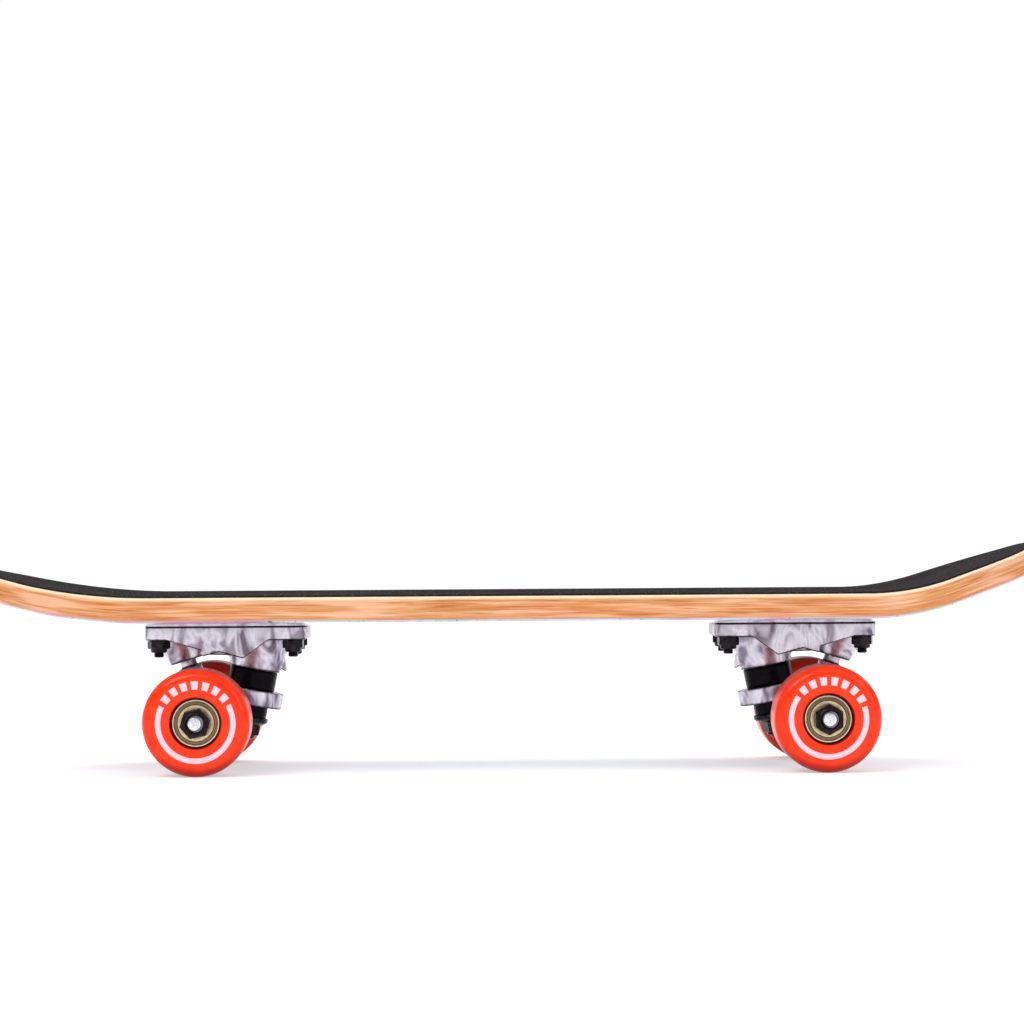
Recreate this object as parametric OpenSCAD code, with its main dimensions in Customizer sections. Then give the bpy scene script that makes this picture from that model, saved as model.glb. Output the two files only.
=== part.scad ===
// Complete skateboard: a laminated deck with two kicks, two single-axle trucks and four
// ball-bearing wheels. X runs along the deck towards the steeper kick (the front), Y across it,
// Z up. The origin is on the ground under the middle of the board.

/* [Deck] */
// Length of the deck, measured along its curved bottom
deck_l = 516; // [430:2:840]
// Width of the deck
deck_w = 152; // [126:0.2:215]
// Thickness of the laminated wood
deck_t = 11.4; // [9:0.1:14]
// Height by which the long edges curl up above the flat middle
concave_h = 2.6; // [0.5:0.1:8]
// Half width of the flat strip along the middle of the deck
flat_half_w = 31; // [28:1:50]
// Length of each rounded end of the outline
tip_l = 80; // [50:1:105]
// Chamfer along the lower edge of the wood
edge_chamfer = 1.2; // [0.4:0.1:2.5]
// Thickness of the grip tape
grip_t = 1; // [0.5:0.1:1.5]

/* [Kicks] */
// Distance from the axle line to the start of the front kick
front_kick_gap = 19; // [15:1:40]
// Bend radius of the front kick
front_kick_r = 120; // [60:5:300]
// Final angle of the front kick
front_kick_angle = 21; // [5:1:25]
// Distance from the axle line to the start of the rear kick
rear_kick_gap = 22; // [15:1:40]
// Bend radius of the rear kick
rear_kick_r = 230; // [60:5:300]
// Final angle of the rear kick
rear_kick_angle = 16; // [5:1:25]

/* [Wheels] */
// Distance between the two axles
wheelbase = 292.2; // [270:0.2:380]
// Diameter of a wheel
wheel_d = 50; // [42:1:62]
// Width of a wheel
wheel_w = 30; // [25:1:40]
// Radius of the rounded lips of a wheel
lip_r = 5; // [2:0.5:7]
// Depth from a wheel's face to its bearing
bearing_recess = 3; // [1:0.5:4.5]
// Width of the rib between the two bearings of a wheel
hub_rib_w = 10; // [8:0.5:14]

/* [Bearings] */
// Bore of a bearing
bearing_bore = 8; // [6:1:9]
// Outer diameter of a bearing
bearing_od = 22; // [20:0.2:26.4]
// Width of a bearing
bearing_w = 7; // [6:0.5:9]
// Diameter of a ball
ball_d = 3.969; // [3.5:0.001:4.2]
// Number of balls in a bearing
ball_count = 7; // [6:1:8]

/* [Axle] */
// Width of the hanger between the inner washers
hanger_w = 83; // [76:0.5:135]
// Thickness of a speed washer
washer_t = 1; // [0.5:0.1:1.5]
// Height of the hexagon of an axle nut
axle_nut_h = 5.2; // [4:0.1:8]
// Width across the flats of an axle nut
axle_nut_af = 12.7; // [11:0.1:14]
// Length of axle that stands out of its nut
axle_proud = 1.2; // [0:0.1:4]

/* [Truck] */
// Length of a baseplate
plate_l = 76.5; // [72:0.5:90]
// Width of a baseplate
plate_w = 54; // [52:0.5:60]
// Thickness of a baseplate's flange
plate_t = 7; // [5:0.5:9]
// Distance from the axle to the middle of the baseplate, towards the middle of the board
plate_shift = 11.3; // [9:0.1:14]
// Hole spacing along the board
bolt_dx = 63.5; // [60:0.5:65]
// Hole spacing across the board
bolt_dy = 41.3; // [38:0.1:42]
// Height of the baseplate from the bushing seat to the deck
seat_depth = 21.2; // [19:0.1:30]
// Lean of the kingpin from the vertical
kingpin_tilt = 11.5; // [5:0.5:20]
// Diameter of the kingpin
kingpin_d = 9.5; // [7.9:0.1:11.4]
// Height of the ring's top face above the axle, at the kingpin
ring_rise = 13.5; // [12:0.1:16]
// Distance from the axle to the middle of the ring's top face
ring_reach = 21.6; // [20:0.1:26]
// Outer radius of the hanger's ring
ring_r = 16.3; // [15:0.1:19]
// Thickness of the hanger's ring
ring_t = 7.5; // [6:0.1:9]
// Height of the pivot ball above the axle
pivot_rise = 29.7; // [28:0.1:32]
// Distance from the axle to the pivot ball, towards the end of the board
pivot_reach = 9.2; // [6:0.1:12]
// Radius of the pivot ball at the end of the hanger's stem
pivot_r = 4.8; // [4:0.1:5.2]

/* [Bushings] */
// Radius of the bushing between the baseplate and the hanger
upper_bushing_r = 11.5; // [10:0.1:12]
// Height of the bushing between the baseplate and the hanger
upper_bushing_h = 9.5; // [7.9:0.1:13]
// Radius of the bushing below the hanger
lower_bushing_r = 10.2; // [9.5:0.1:11]
// Height of the bushing below the hanger
lower_bushing_h = 7.3; // [6:0.1:10]
// Width across the flats of the kingpin nut
kingpin_nut_af = 14.3; // [13:0.1:16]

/* [Fasteners] */
// Diameter of a mounting bolt
bolt_d = 4.8; // [4:0.1:5.2]
// Diameter of a mounting bolt's countersunk head
bolt_head_d = 9.2; // [8:0.1:10]
// Width across the flats of a mounting nut
bolt_nut_af = 9.5; // [8:0.1:10]
// Length of bolt that stands out of its nut
bolt_proud = 2.2; // [0:0.1:6]

/* [Hidden] */
$fn = 64;
eps = 0.01;
// Clearances between pieces
fit_gap = 0.05;
axle_gap = 0.03;
ball_gap = 0.035;
hole_gap = 0.35;
swing_gap = 0.35;

// Heights above the ground and places along the board
axle_z = wheel_d / 2;
axle_r = bearing_bore / 2 - axle_gap;
seat = [-ring_reach - upper_bushing_h * sin(kingpin_tilt),
        ring_rise + upper_bushing_h * cos(kingpin_tilt)];
plate_top = seat[1] + seat_depth;
plate_bottom = plate_top - plate_t;
deck_z = axle_z + plate_top;

// Sizes of the deck's path: a flat middle, then an arc and a straight stretch at each end
front_flat = wheelbase / 2 + front_kick_gap;
rear_flat = wheelbase / 2 + rear_kick_gap;
arc_steps = 8;
tip_steps = 14;
tip_last = 87;
tip_power = 0.94;
row_steps = 12;
grip_inset = 0.4;
grip_bulge = 0.1;

// Sizes along the axle, from the middle of the board outwards
race_start = hanger_w / 2 + washer_t;
wheel_y = race_start + bearing_w + hub_rib_w / 2;
wheel_in = wheel_y - bearing_w - hub_rib_w / 2 - bearing_recess;
outer_washer_y = race_start + 2 * bearing_w + hub_rib_w;
axle_nut_y = outer_washer_y + washer_t;
nut_collar_h = 2;
axle_half_l = axle_nut_y + axle_nut_h + nut_collar_h + axle_proud;
axle_chamfer = 0.9;

// Radii inside a bearing
pitch_r = (bearing_bore + bearing_od) / 4;
groove_r = ball_d / 2 + ball_gap;
groove_depth = 0.53;
inner_race_r = pitch_r - ball_d / 2 + groove_depth;
outer_race_r = pitch_r + ball_d / 2 - groove_depth;
shield_seat_w = 0.7;
shield_seat_r = outer_race_r + 0.75;
shield_t = 0.3;
shield_drop = 0.15;
shield_step_r = outer_race_r - 0.55;
cage_gap = 0.3;
cage_back = ball_d / 2 + 0.55;
cage_front = 0.8;
washer_r = inner_race_r - 0.1;
hub_rib_r = bearing_od / 2 - 1.8;

// Sizes of the truck's castings
plate_corner_r = 7;
skirt_t = 3.6;
boss_r = upper_bushing_r + 0.7;
boss_flare = 3.5;
rim_drop = 3;
cup_wall = 1.6;
cup_r = pivot_r + cup_wall;
cup_top = pivot_r + cup_wall + 0.4;
pivot_boss_r = cup_r + 1.9;
pivot_boss_flare = 6.5;
pivot_boss_l = 22;
stem_r = 5.8;
neck_r = 3.9;
neck_l = 6.2;
stem_lean = atan2(pivot_reach, pivot_rise);
stem_len = norm([pivot_reach, pivot_rise]);
ring_hole_r = kingpin_d / 2 + 2.25;
housing_r = 9.5;
housing_end_r = 7.6;
housing_flat = 17;
web_w = 9;
wing_t = 6.5;
wing_ring_half_w = 12;
wing_arm_half_w = 32;
stem_rib_half_w = 3.6;
yoke_half_w = ring_r - 2.5;
// Cross ribs under the flange: their places along the board, thickness, height and middle depth
rib_places = [-4.6, -21.5];
rib_t = 4.4;
rib_h = 5;
rib_drop = 2.4;
// Room left round the castings for nuts and for what swings
bolt_nut_room_h = 20;
boss_room_h = 20;
boss_room_gap = 2;
seat_room_h = 30;
cup_mouth = 0.9;
bushing_room_gap = 1.2;

// Sizes along the kingpin, measured from the bushing seat downwards
ring_s = upper_bushing_h;
lower_s = ring_s + ring_t;
cup_lip = 1.6;
cup_base = 1.8;
cup_floor_s = lower_s + lower_bushing_h;
cup_end_s = cup_floor_s + cup_base;
cup_washer_r = lower_bushing_r + 0.95;
kingpin_nut_h = 5.4;
kingpin_nut_collar = 1.6;
kingpin_head_r = kingpin_d / 2 + 2.25;
kingpin_head_h = 4.5;
kingpin_head_s = -14.6;
kingpin_end_s = cup_end_s + kingpin_nut_h + kingpin_nut_collar + 1.4;
kingpin_chamfer = 0.8;
bushing_chamfer = 0.6;
nut_collar_inset = 0.9;
nut_side = cup_washer_r + 1.65;
nut_room = ring_r + 1.2;
nut_room_h = 22;
nut_room_l = 30;
ring_mid = ring_point(0, ring_t / 2);
ring_span = norm(ring_mid);

// Sizes of the mounting bolts
bolt_top = deck_t + grip_t;
sink_h = (bolt_head_d - bolt_d) / 2;
nut_hex_h = 4;
nut_ring_h = 1.8;
nut_ring_inset = 0.45;
recess_l = 4.6;
recess_w = 1;
recess_depth = 1.5;
bolt_len = bolt_top + plate_t + nut_hex_h + nut_ring_h + bolt_proud;

// ---------------------------------------------------------------- deck

// Each end of the path is [length of its flat part, bend radius, final angle].
front_end = [front_flat, front_kick_r, front_kick_angle];
rear_end = [rear_flat, rear_kick_r, rear_kick_angle];
function bend_len(e) = e[1] * e[2] * PI / 180;
function bend_at(e, s) = min(max(s - e[0], 0), bend_len(e)) / e[1] * 180 / PI;
function past_bend(e, s) = max(s - e[0] - bend_len(e), 0);
function path_x(e, s) = min(s, e[0]) + e[1] * sin(bend_at(e, s)) + past_bend(e, s) * cos(e[2]);
function path_z(e, s) = e[1] * (1 - cos(bend_at(e, s))) + past_bend(e, s) * sin(e[2]);

// Half width of the outline at a distance s from the middle, along the path
function half_w(s) = let(t = max(s - deck_l / 2 + tip_l, 0) / tip_l)
    deck_w / 2 * pow(max(1 - t * t, 0), tip_power / 2);
function concave(y) = let(t = max(abs(y) - flat_half_w, 0) / (deck_w / 2 - flat_half_w))
    concave_h * t * t;

// Stations of one end, from the flat part out to the tip
function arc_stations(e) = [for (i = [0:arc_steps]) e[0] + bend_len(e) * i / arc_steps];
function tip_stations() = [for (i = [1:tip_steps])
    deck_l / 2 - tip_l + tip_l * sin(tip_last * i / tip_steps)];
function sorted(v) = len(v) < 2 ? v : let(p = v[floor(len(v) / 2)]) concat(
    sorted([for (a = v) if (a < p - 0.5) a]), [p], sorted([for (a = v) if (a > p + 0.5) a]));
function stations(e) = sorted(concat(arc_stations(e), tip_stations()));

// One cross-section, as points across the deck and above the wood's bottom: a lower row, the
// right side, an upper row and the left side. half holds the half widths of the lower row, of
// the sides and of the upper row, and level the heights of the two rows.
function section_yz(half, level, cut) = concat(
    [for (i = [0:row_steps]) let(y = half[0] * (2 * i / row_steps - 1)) [y, level[0] + concave(y)]],
    [for (i = [0, 1]) [half[1], level[i] + (1 - 2 * i) * cut[i] + concave(half[1])]],
    [for (i = [0:row_steps]) let(y = half[2] * (1 - 2 * i / row_steps)) [y, level[1] + concave(y)]],
    [for (i = [1, 0]) [-half[1], level[i] + (1 - 2 * i) * cut[i] + concave(half[1])]]);
function placed(dir, e, s, points) = let(a = bend_at(e, s))
    [for (p = points) [dir * (path_x(e, s) - p[1] * sin(a)), p[0], path_z(e, s) + p[1] * cos(a)]];
function ring_at(dir, e, s, inset, level, cut) =
    placed(dir, e, s, section_yz([for (i = inset) half_w(s) - i], level, cut));
function rings(inset, level, cut) = concat(
    [let(v = stations(rear_end)) for (i = [len(v) - 1:-1:0])
        ring_at(-1, rear_end, v[i], inset, level, cut)],
    [for (s = stations(front_end)) ring_at(1, front_end, s, inset, level, cut)]);

// Skin over a list of rings, closed by a strip of small faces at each end
module skin(r) {
    n = len(r[0]);
    last = (len(r) - 1) * n;
    points = [for (ring = r) for (p = ring) p];
    // The upper row's cells split along the same diagonal as the lower row's, so that a sheet
    // laid on another meets it face to face
    sides = [for (i = [0:n:last - 1]) for (k = [0:n - 1]) let(m = (k + 1) % n) each k > n / 2 - 1
        ? [[i + k, i + n + k, i + m], [i + n + k, i + n + m, i + m]]
        : [[i + k, i + n + k, i + n + m], [i + k, i + n + m, i + m]]];
    // Pairs of neighbours along the section's lower side and the points above them
    strip = concat([[0, n - 1, n - 2, n - 3]],
        [for (i = [0:row_steps - 1]) [i + 1, i, n - 3 - i, n - 4 - i]],
        [[row_steps + 2, row_steps + 1, row_steps, row_steps + 3]]);
    caps = [for (q = strip)
        each [[q[3], q[2], q[1]], [q[3], q[1], q[0]],
              [last + q[1], last + q[2], last + q[3]], [last + q[0], last + q[1], last + q[3]]]];
    polyhedron(points, concat(sides, caps), convexity = 6);
}

module at_bolts() {
    for (end = [-1, 1], i = [-1, 1], j = [-1, 1])
        translate([end * (wheelbase / 2 - plate_shift) + i * bolt_dx / 2, j * bolt_dy / 2, deck_z])
            children();
}

module bolt_hole() {
    translate([0, 0, -1])
        cylinder(d = bolt_d + 2 * hole_gap, h = deck_t + 2);
    translate([0, 0, bolt_top - sink_h - fit_gap])
        cylinder(d1 = bolt_d, d2 = bolt_head_d + 2 * fit_gap, h = sink_h + fit_gap);
}

module deck() {
    color("burlywood")
    difference() {
        translate([0, 0, deck_z])
            skin(rings([edge_chamfer, 0, grip_inset], [0, deck_t], [edge_chamfer, grip_inset]));
        at_bolts()
            bolt_hole();
    }
}

module grip_tape() {
    color("dimgray")
    difference() {
        translate([0, 0, deck_z])
            skin(rings([grip_inset, grip_inset - grip_bulge, grip_inset + grip_bulge],
                       [deck_t, deck_t + grip_t], [grip_bulge, grip_bulge]));
        at_bolts()
            translate([0, 0, deck_t - 1])
                cylinder(d = bolt_head_d + 2 * hole_gap, h = grip_t + 2);
    }
}

// ---------------------------------------------------------------- placing

// Puts a truck made around its axle, with +X towards the end of the board, at one end
module truck(end) {
    translate([end * wheelbase / 2, 0, axle_z])
        mirror([end < 0 ? 1 : 0, 0, 0])
            children();
}

// Frame of the kingpin: origin at the bushing seat, Z up along the kingpin
module along_kingpin(s = 0) {
    translate([seat[0], 0, seat[1]])
        rotate([0, -kingpin_tilt, 0])
            translate([0, 0, -s])
                children();
}

// Frame of the pivot: origin at the ball, Z up along the stem
module along_stem() {
    translate([pivot_reach, 0, pivot_rise])
        rotate([0, stem_lean, 0])
            children();
}

// Extrudes an outline drawn in X and Z across the board, from y0 to y1
module across(y0, y1) {
    translate([0, y1, 0])
        rotate([90, 0, 0])
            linear_extrude(y1 - y0)
                children();
}

module rounded(l, w, r) {
    square([l - 2 * r, w], center = true);
    square([l, w - 2 * r], center = true);
    for (i = [-1, 1], j = [-1, 1])
        translate([i * (l / 2 - r), j * (w / 2 - r)])
            circle(r);
}

module hexagon(af, h) {
    cylinder(d = af / cos(30), h = h, $fn = 6);
}

// ---------------------------------------------------------------- truck castings

// Lower outline of the side walls, with the arch between the two bosses
module skirt_outline() {
    polygon([
        [bolt_dx / 2 - plate_shift - 4.5, plate_bottom + eps],
        [-0.2, plate_bottom - 4.8],
        [-0.4, plate_bottom - 7.6],
        [-8.1, plate_bottom - 5.4],
        [-19.7, plate_bottom - 8.6],
        [-bolt_dx / 2 - plate_shift + 11.5, plate_bottom + eps]
    ]);
}

module plate_body() {
    translate([-plate_shift, 0, plate_bottom])
        linear_extrude(plate_t)
            rounded(plate_l, plate_w, plate_corner_r);
    for (j = [-1, 1])
        across(j * (plate_w - skirt_t) / 2 - skirt_t / 2, j * (plate_w - skirt_t) / 2 + skirt_t / 2)
            skirt_outline();
    along_kingpin()
        cylinder(r1 = boss_r, r2 = boss_r + boss_flare, h = seat_depth);
    along_stem()
        translate([0, 0, -rim_drop])
            cylinder(r1 = pivot_boss_r, r2 = pivot_boss_r + pivot_boss_flare, h = pivot_boss_l);
    // Web along the middle, from boss to boss and out to both ends of the plate
    across(-web_w / 2, web_w / 2)
        polygon([
            [pivot_reach + 12, plate_bottom + eps],
            [pivot_reach + 7.2, pivot_rise + 0.3],
            [seat[0] + boss_r - 1, seat[1] + 6.5],
            [seat[0] - boss_r + 1, seat[1] + 1],
            [seat[0] - boss_r - 3.4, seat[1] - 1.8],
            [seat[0] - boss_r - 1.2, plate_bottom + eps]
        ]);
    // Cross ribs that tie the bosses to the side walls
    for (x = rib_places)
        translate([x, 0, plate_bottom - rib_drop])
            cube([rib_t, plate_w - skirt_t, rib_h], center = true);
}

module baseplate() {
    color("gainsboro")
    difference() {
        intersection() {
            plate_body();
            translate([-plate_shift, 0, plate_top / 2])
                cube([plate_l, plate_w, plate_top], center = true);
        }
        for (i = [-1, 1], j = [-1, 1])
            translate([-plate_shift + i * bolt_dx / 2, j * bolt_dy / 2, 0]) {
                cylinder(d = bolt_d + 2 * hole_gap, h = plate_top + 1);
                // Room for the nut and its spanner under the flange
                translate([0, 0, plate_bottom - bolt_nut_room_h])
                    cylinder(d = bolt_nut_af / cos(30) + 1, h = bolt_nut_room_h);
            }
        along_kingpin(2)
            cylinder(r = kingpin_d / 2 + fit_gap, h = seat_depth + 4);
        along_kingpin(kingpin_head_s)
            cylinder(r = kingpin_head_r + hole_gap, h = seat_depth);
        along_stem()
            translate([0, 0, -rim_drop - 1])
                cylinder(r = cup_r + fit_gap, h = cup_top + rim_drop + 1);
        // The space under the rim of the pivot boss, where the stem swings
        along_stem()
            translate([0, 0, -rim_drop - boss_room_h])
                cylinder(r = pivot_boss_r + boss_room_gap, h = boss_room_h);
        // The space under the bushing seat
        along_kingpin(seat_room_h)
            cylinder(r = ring_r + boss_room_gap, h = seat_room_h);
    }
}

module pivot_cup() {
    color("black")
    along_stem()
        difference() {
            translate([0, 0, -rim_drop])
                cylinder(r = cup_r, h = cup_top + rim_drop);
            sphere(r = pivot_r + axle_gap);
            translate([0, 0, -rim_drop - eps])
                cylinder(r1 = pivot_r + cup_mouth, r2 = pivot_r + axle_gap, h = rim_drop + eps);
        }
}

module hanger_body() {
    // Axle housing: a straight middle and two tapered arms
    rotate([90, 0, 0])
        rotate_extrude()
            polygon([[0, -hanger_w / 2], [housing_end_r, -hanger_w / 2], [housing_r, -housing_flat],
                     [housing_r, housing_flat], [housing_end_r, hanger_w / 2], [0, hanger_w / 2]]);
    along_kingpin(lower_s)
        cylinder(r = ring_r, h = ring_t);
    // Yoke between the ring and the housing
    across(-yoke_half_w, yoke_half_w)
        polygon([
            ring_point(2, 0.8), ring_point(ring_r + 1.2, 0.8),
            [2, housing_r - 1.6], [housing_r - 1, 2], [housing_r - 2.5, -5],
            [-2.5, -housing_r + 1], ring_point(9, ring_t - 0.6), ring_point(2, ring_t - 0.6)
        ]);
    // Wings that spread from the ring to the arms
    wing_frame()
        translate([0, 0, -wing_t / 2])
            linear_extrude(wing_t)
                polygon([[0, -wing_ring_half_w], [ring_span, -wing_arm_half_w],
                         [ring_span, wing_arm_half_w], [0, wing_ring_half_w]]);
    // Stem, neck and ball of the pivot
    along_stem() {
        sphere(r = pivot_r);
        translate([0, 0, -neck_l - 1])
            cylinder(r = neck_r, h = neck_l + 1);
        translate([0, 0, -stem_len])
            cylinder(r = stem_r, h = stem_len - neck_l);
    }
    // Rib between the stem and the ring
    across(-stem_rib_half_w, stem_rib_half_w)
        polygon([
            [0, housing_r - 3], ring_point(ring_r - 2.6, 2),
            ring_point(ring_r - 1.2, -0.4), [0.4, pivot_rise - neck_l - 2.2],
            [5.2, pivot_rise - neck_l - 1.6], [6, housing_r - 3]
        ]);
}

// A point in X and Z at a distance x from the kingpin's axis and a depth d below the ring's top
function ring_point(x, d) = [
    seat[0] + x * cos(kingpin_tilt) + (ring_s + d) * sin(kingpin_tilt),
    seat[1] + x * sin(kingpin_tilt) - (ring_s + d) * cos(kingpin_tilt)];

// Frame whose X runs from the middle of the ring to the axle
module wing_frame() {
    translate([ring_mid[0], 0, ring_mid[1]])
        rotate([0, atan2(ring_mid[1], -ring_mid[0]), 0])
            children();
}

module hanger() {
    color("lightgray")
    difference() {
        hanger_body();
        along_kingpin(lower_s + 1)
            cylinder(r = ring_hole_r, h = ring_t + 2);
        // Room for the upper bushing, above the ring
        along_kingpin(ring_s)
            cylinder(r = upper_bushing_r + bushing_room_gap, h = ring_s);
        // Room for the lower bushing, its washer and the nut to swing, below the ring
        along_kingpin(lower_s + nut_room_h)
            translate([-nut_room_l, -nut_room, 0])
                cube([nut_room_l + nut_side, 2 * nut_room, nut_room_h]);
        rotate([90, 0, 0])
            cylinder(r = axle_r + fit_gap, h = hanger_w + 2, center = true);
    }
}

// ---------------------------------------------------------------- kingpin parts

module kingpin() {
    color("dimgray") {
        along_kingpin(kingpin_end_s)
            cylinder(d1 = kingpin_d - 2 * kingpin_chamfer, d2 = kingpin_d, h = kingpin_chamfer);
        along_kingpin(kingpin_end_s - kingpin_chamfer)
            cylinder(d = kingpin_d, h = kingpin_end_s - kingpin_chamfer - kingpin_head_s);
        along_kingpin(kingpin_head_s)
            cylinder(r = kingpin_head_r, h = kingpin_head_h);
    }
}

module upper_bushing() {
    color("black")
    along_kingpin(ring_s)
        rotate_extrude()
            polygon([
                [kingpin_d / 2 + fit_gap, 0], [upper_bushing_r - bushing_chamfer, 0],
                [upper_bushing_r, bushing_chamfer],
                [upper_bushing_r, upper_bushing_h - bushing_chamfer],
                [upper_bushing_r - bushing_chamfer, upper_bushing_h],
                [kingpin_d / 2 + fit_gap, upper_bushing_h]
            ]);
}

module lower_bushing() {
    color("black")
    along_kingpin(cup_floor_s)
        rotate_extrude()
            polygon([
                [kingpin_d / 2 + fit_gap, 0], [lower_bushing_r - 0.7, 0],
                [lower_bushing_r - 0.3, cup_lip + 0.6], [lower_bushing_r, lower_bushing_h - 1],
                [lower_bushing_r - 0.8, lower_bushing_h], [kingpin_d / 2 + fit_gap, lower_bushing_h]
            ]);
}

module cup_washer() {
    color("black")
    along_kingpin(cup_end_s)
        difference() {
            cylinder(r = cup_washer_r, h = cup_base + cup_lip);
            translate([0, 0, cup_base])
                cylinder(r = lower_bushing_r, h = cup_lip + 1);
            translate([0, 0, -1])
                cylinder(r = kingpin_d / 2 + fit_gap, h = cup_base + 2);
        }
}

module kingpin_nut() {
    color("black")
    along_kingpin(cup_end_s + kingpin_nut_h + kingpin_nut_collar)
        difference() {
            union() {
                cylinder(r = kingpin_nut_af / 2 - nut_collar_inset, h = kingpin_nut_collar + eps);
                translate([0, 0, kingpin_nut_collar])
                    hexagon(kingpin_nut_af, kingpin_nut_h);
            }
            translate([0, 0, -1])
                cylinder(r = kingpin_d / 2 + fit_gap, h = kingpin_nut_h + kingpin_nut_collar + 2);
        }
}

// ---------------------------------------------------------------- mounting bolts

module at_truck_bolts() {
    for (i = [-1, 1], j = [-1, 1])
        translate([-plate_shift + i * bolt_dx / 2, j * bolt_dy / 2, plate_top])
            children();
}

module mounting_bolts() {
    color("dimgray")
    at_truck_bolts()
        difference() {
            union() {
                translate([0, 0, bolt_top - bolt_len])
                    cylinder(d = bolt_d, h = bolt_len - sink_h + eps);
                translate([0, 0, bolt_top - sink_h])
                    cylinder(d1 = bolt_d, d2 = bolt_head_d, h = sink_h);
            }
            // Cross recess
            for (a = [0, 90])
                translate([0, 0, bolt_top])
                    rotate([0, 0, a])
                        cube([recess_l, recess_w, 2 * recess_depth], center = true);
        }
}

module mounting_nuts() {
    color("black")
    at_truck_bolts()
        translate([0, 0, -plate_t - nut_hex_h - nut_ring_h])
            difference() {
                union() {
                    cylinder(r = bolt_nut_af / 2 - nut_ring_inset, h = nut_ring_h + eps);
                    translate([0, 0, nut_ring_h])
                        hexagon(bolt_nut_af, nut_hex_h);
                }
                translate([0, 0, -1])
                    cylinder(r = bolt_d / 2 + fit_gap, h = nut_hex_h + nut_ring_h + 2);
            }
}

// ---------------------------------------------------------------- axle and wheels

module axle() {
    color("silver")
    rotate([90, 0, 0])
        rotate_extrude()
            polygon([
                [0, -axle_half_l], [axle_r - axle_chamfer, -axle_half_l],
                [axle_r, -axle_half_l + axle_chamfer], [axle_r, axle_half_l - axle_chamfer],
                [axle_r - axle_chamfer, axle_half_l], [0, axle_half_l]
            ]);
}

// Puts a wheel's pieces, made with Z outwards from the middle of the axle, on one side
module side(s) {
    rotate([s > 0 ? -90 : 90, 0, 0])
        children();
}

// The two bearings of a wheel, each made around its own middle, the outer one turned round
module at_bearings() {
    translate([0, 0, race_start + bearing_w / 2])
        children();
    translate([0, 0, race_start + bearing_w * 1.5 + hub_rib_w])
        mirror([0, 0, 1])
            children();
}

module wheel_profile() {
    half = wheel_w / 2;
    r = wheel_d / 2;
    difference() {
        union() {
            translate([hub_rib_r, -half])
                square([r - lip_r - hub_rib_r, wheel_w]);
            translate([hub_rib_r, -half + lip_r])
                square([r - hub_rib_r, wheel_w - 2 * lip_r]);
            for (j = [-1, 1])
                translate([r - lip_r, j * (half - lip_r)])
                    circle(lip_r);
        }
        for (j = [0, 1])
            mirror([0, j])
                translate([0, hub_rib_w / 2])
                    polygon([
                        [0, 0], [bearing_od / 2, 0], [bearing_od / 2, bearing_w + 0.6],
                        [bearing_od / 2 + 0.5, bearing_w + 1], [bearing_od / 2 + 1.2, half],
                        [0, half]
                    ]);
    }
}

module wheel() {
    color("orangered")
    translate([0, 0, wheel_y])
        rotate_extrude()
            wheel_profile();
}

module race_profile(inner_r, outer_r) {
    difference() {
        translate([inner_r, -bearing_w / 2])
            square([outer_r - inner_r, bearing_w]);
        translate([pitch_r, 0])
            circle(groove_r);
    }
}

module outer_races() {
    color("darkkhaki")
    at_bearings()
        rotate_extrude()
            difference() {
                race_profile(outer_race_r, bearing_od / 2);
                for (j = [-1, 1])
                    translate([0, j * bearing_w / 2 - shield_seat_w / 2 * (1 + j)])
                        square([shield_seat_r, shield_seat_w]);
            }
}

module shields() {
    color("khaki")
    at_bearings()
        for (j = [0, 1])
            mirror([0, 0, j])
                rotate_extrude()
                    polygon([
                        [inner_race_r + swing_gap, bearing_w / 2 - shield_drop - shield_t],
                        [shield_step_r, bearing_w / 2 - shield_drop - shield_t],
                        [shield_step_r + 0.2, bearing_w / 2 - shield_seat_w],
                        [shield_seat_r, bearing_w / 2 - shield_seat_w],
                        [shield_seat_r, bearing_w / 2 - shield_seat_w + shield_t],
                        [shield_step_r + 0.3, bearing_w / 2 - shield_seat_w + shield_t],
                        [shield_step_r + 0.1, bearing_w / 2 - shield_drop],
                        [inner_race_r + swing_gap, bearing_w / 2 - shield_drop]
                    ]);
}

module at_balls() {
    for (i = [0:ball_count - 1])
        rotate([0, 0, i * 360 / ball_count])
            translate([pitch_r, 0, 0])
                children();
}

module balls() {
    color("silver")
    at_bearings()
        at_balls()
            sphere(d = ball_d);
}

module cages() {
    color("gray")
    at_bearings()
        difference() {
            translate([0, 0, -cage_back])
                cylinder(r = outer_race_r - cage_gap, h = cage_back + cage_front);
            translate([0, 0, -cage_back - 1])
                cylinder(r = inner_race_r + cage_gap, h = cage_back + cage_front + 2);
            at_balls()
                sphere(r = ball_d / 2 + fit_gap);
        }
}

module inner_races() {
    color("darkkhaki")
    at_bearings()
        rotate_extrude()
            race_profile(bearing_bore / 2, inner_race_r);
}

module speed_washers() {
    color("silver")
    for (z = [hanger_w / 2, outer_washer_y])
        translate([0, 0, z])
            difference() {
                cylinder(r = washer_r, h = washer_t);
                translate([0, 0, -1])
                    cylinder(r = bearing_bore / 2, h = washer_t + 2);
            }
}

module axle_nut() {
    color("black")
    translate([0, 0, axle_nut_y])
        difference() {
            union() {
                hexagon(axle_nut_af, axle_nut_h);
                cylinder(r = axle_nut_af / 2 - nut_collar_inset, h = axle_nut_h + nut_collar_h);
            }
            translate([0, 0, -1])
                cylinder(r = bearing_bore / 2, h = axle_nut_h + nut_collar_h + 2);
        }
}

// ---------------------------------------------------------------- one line for each node

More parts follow.
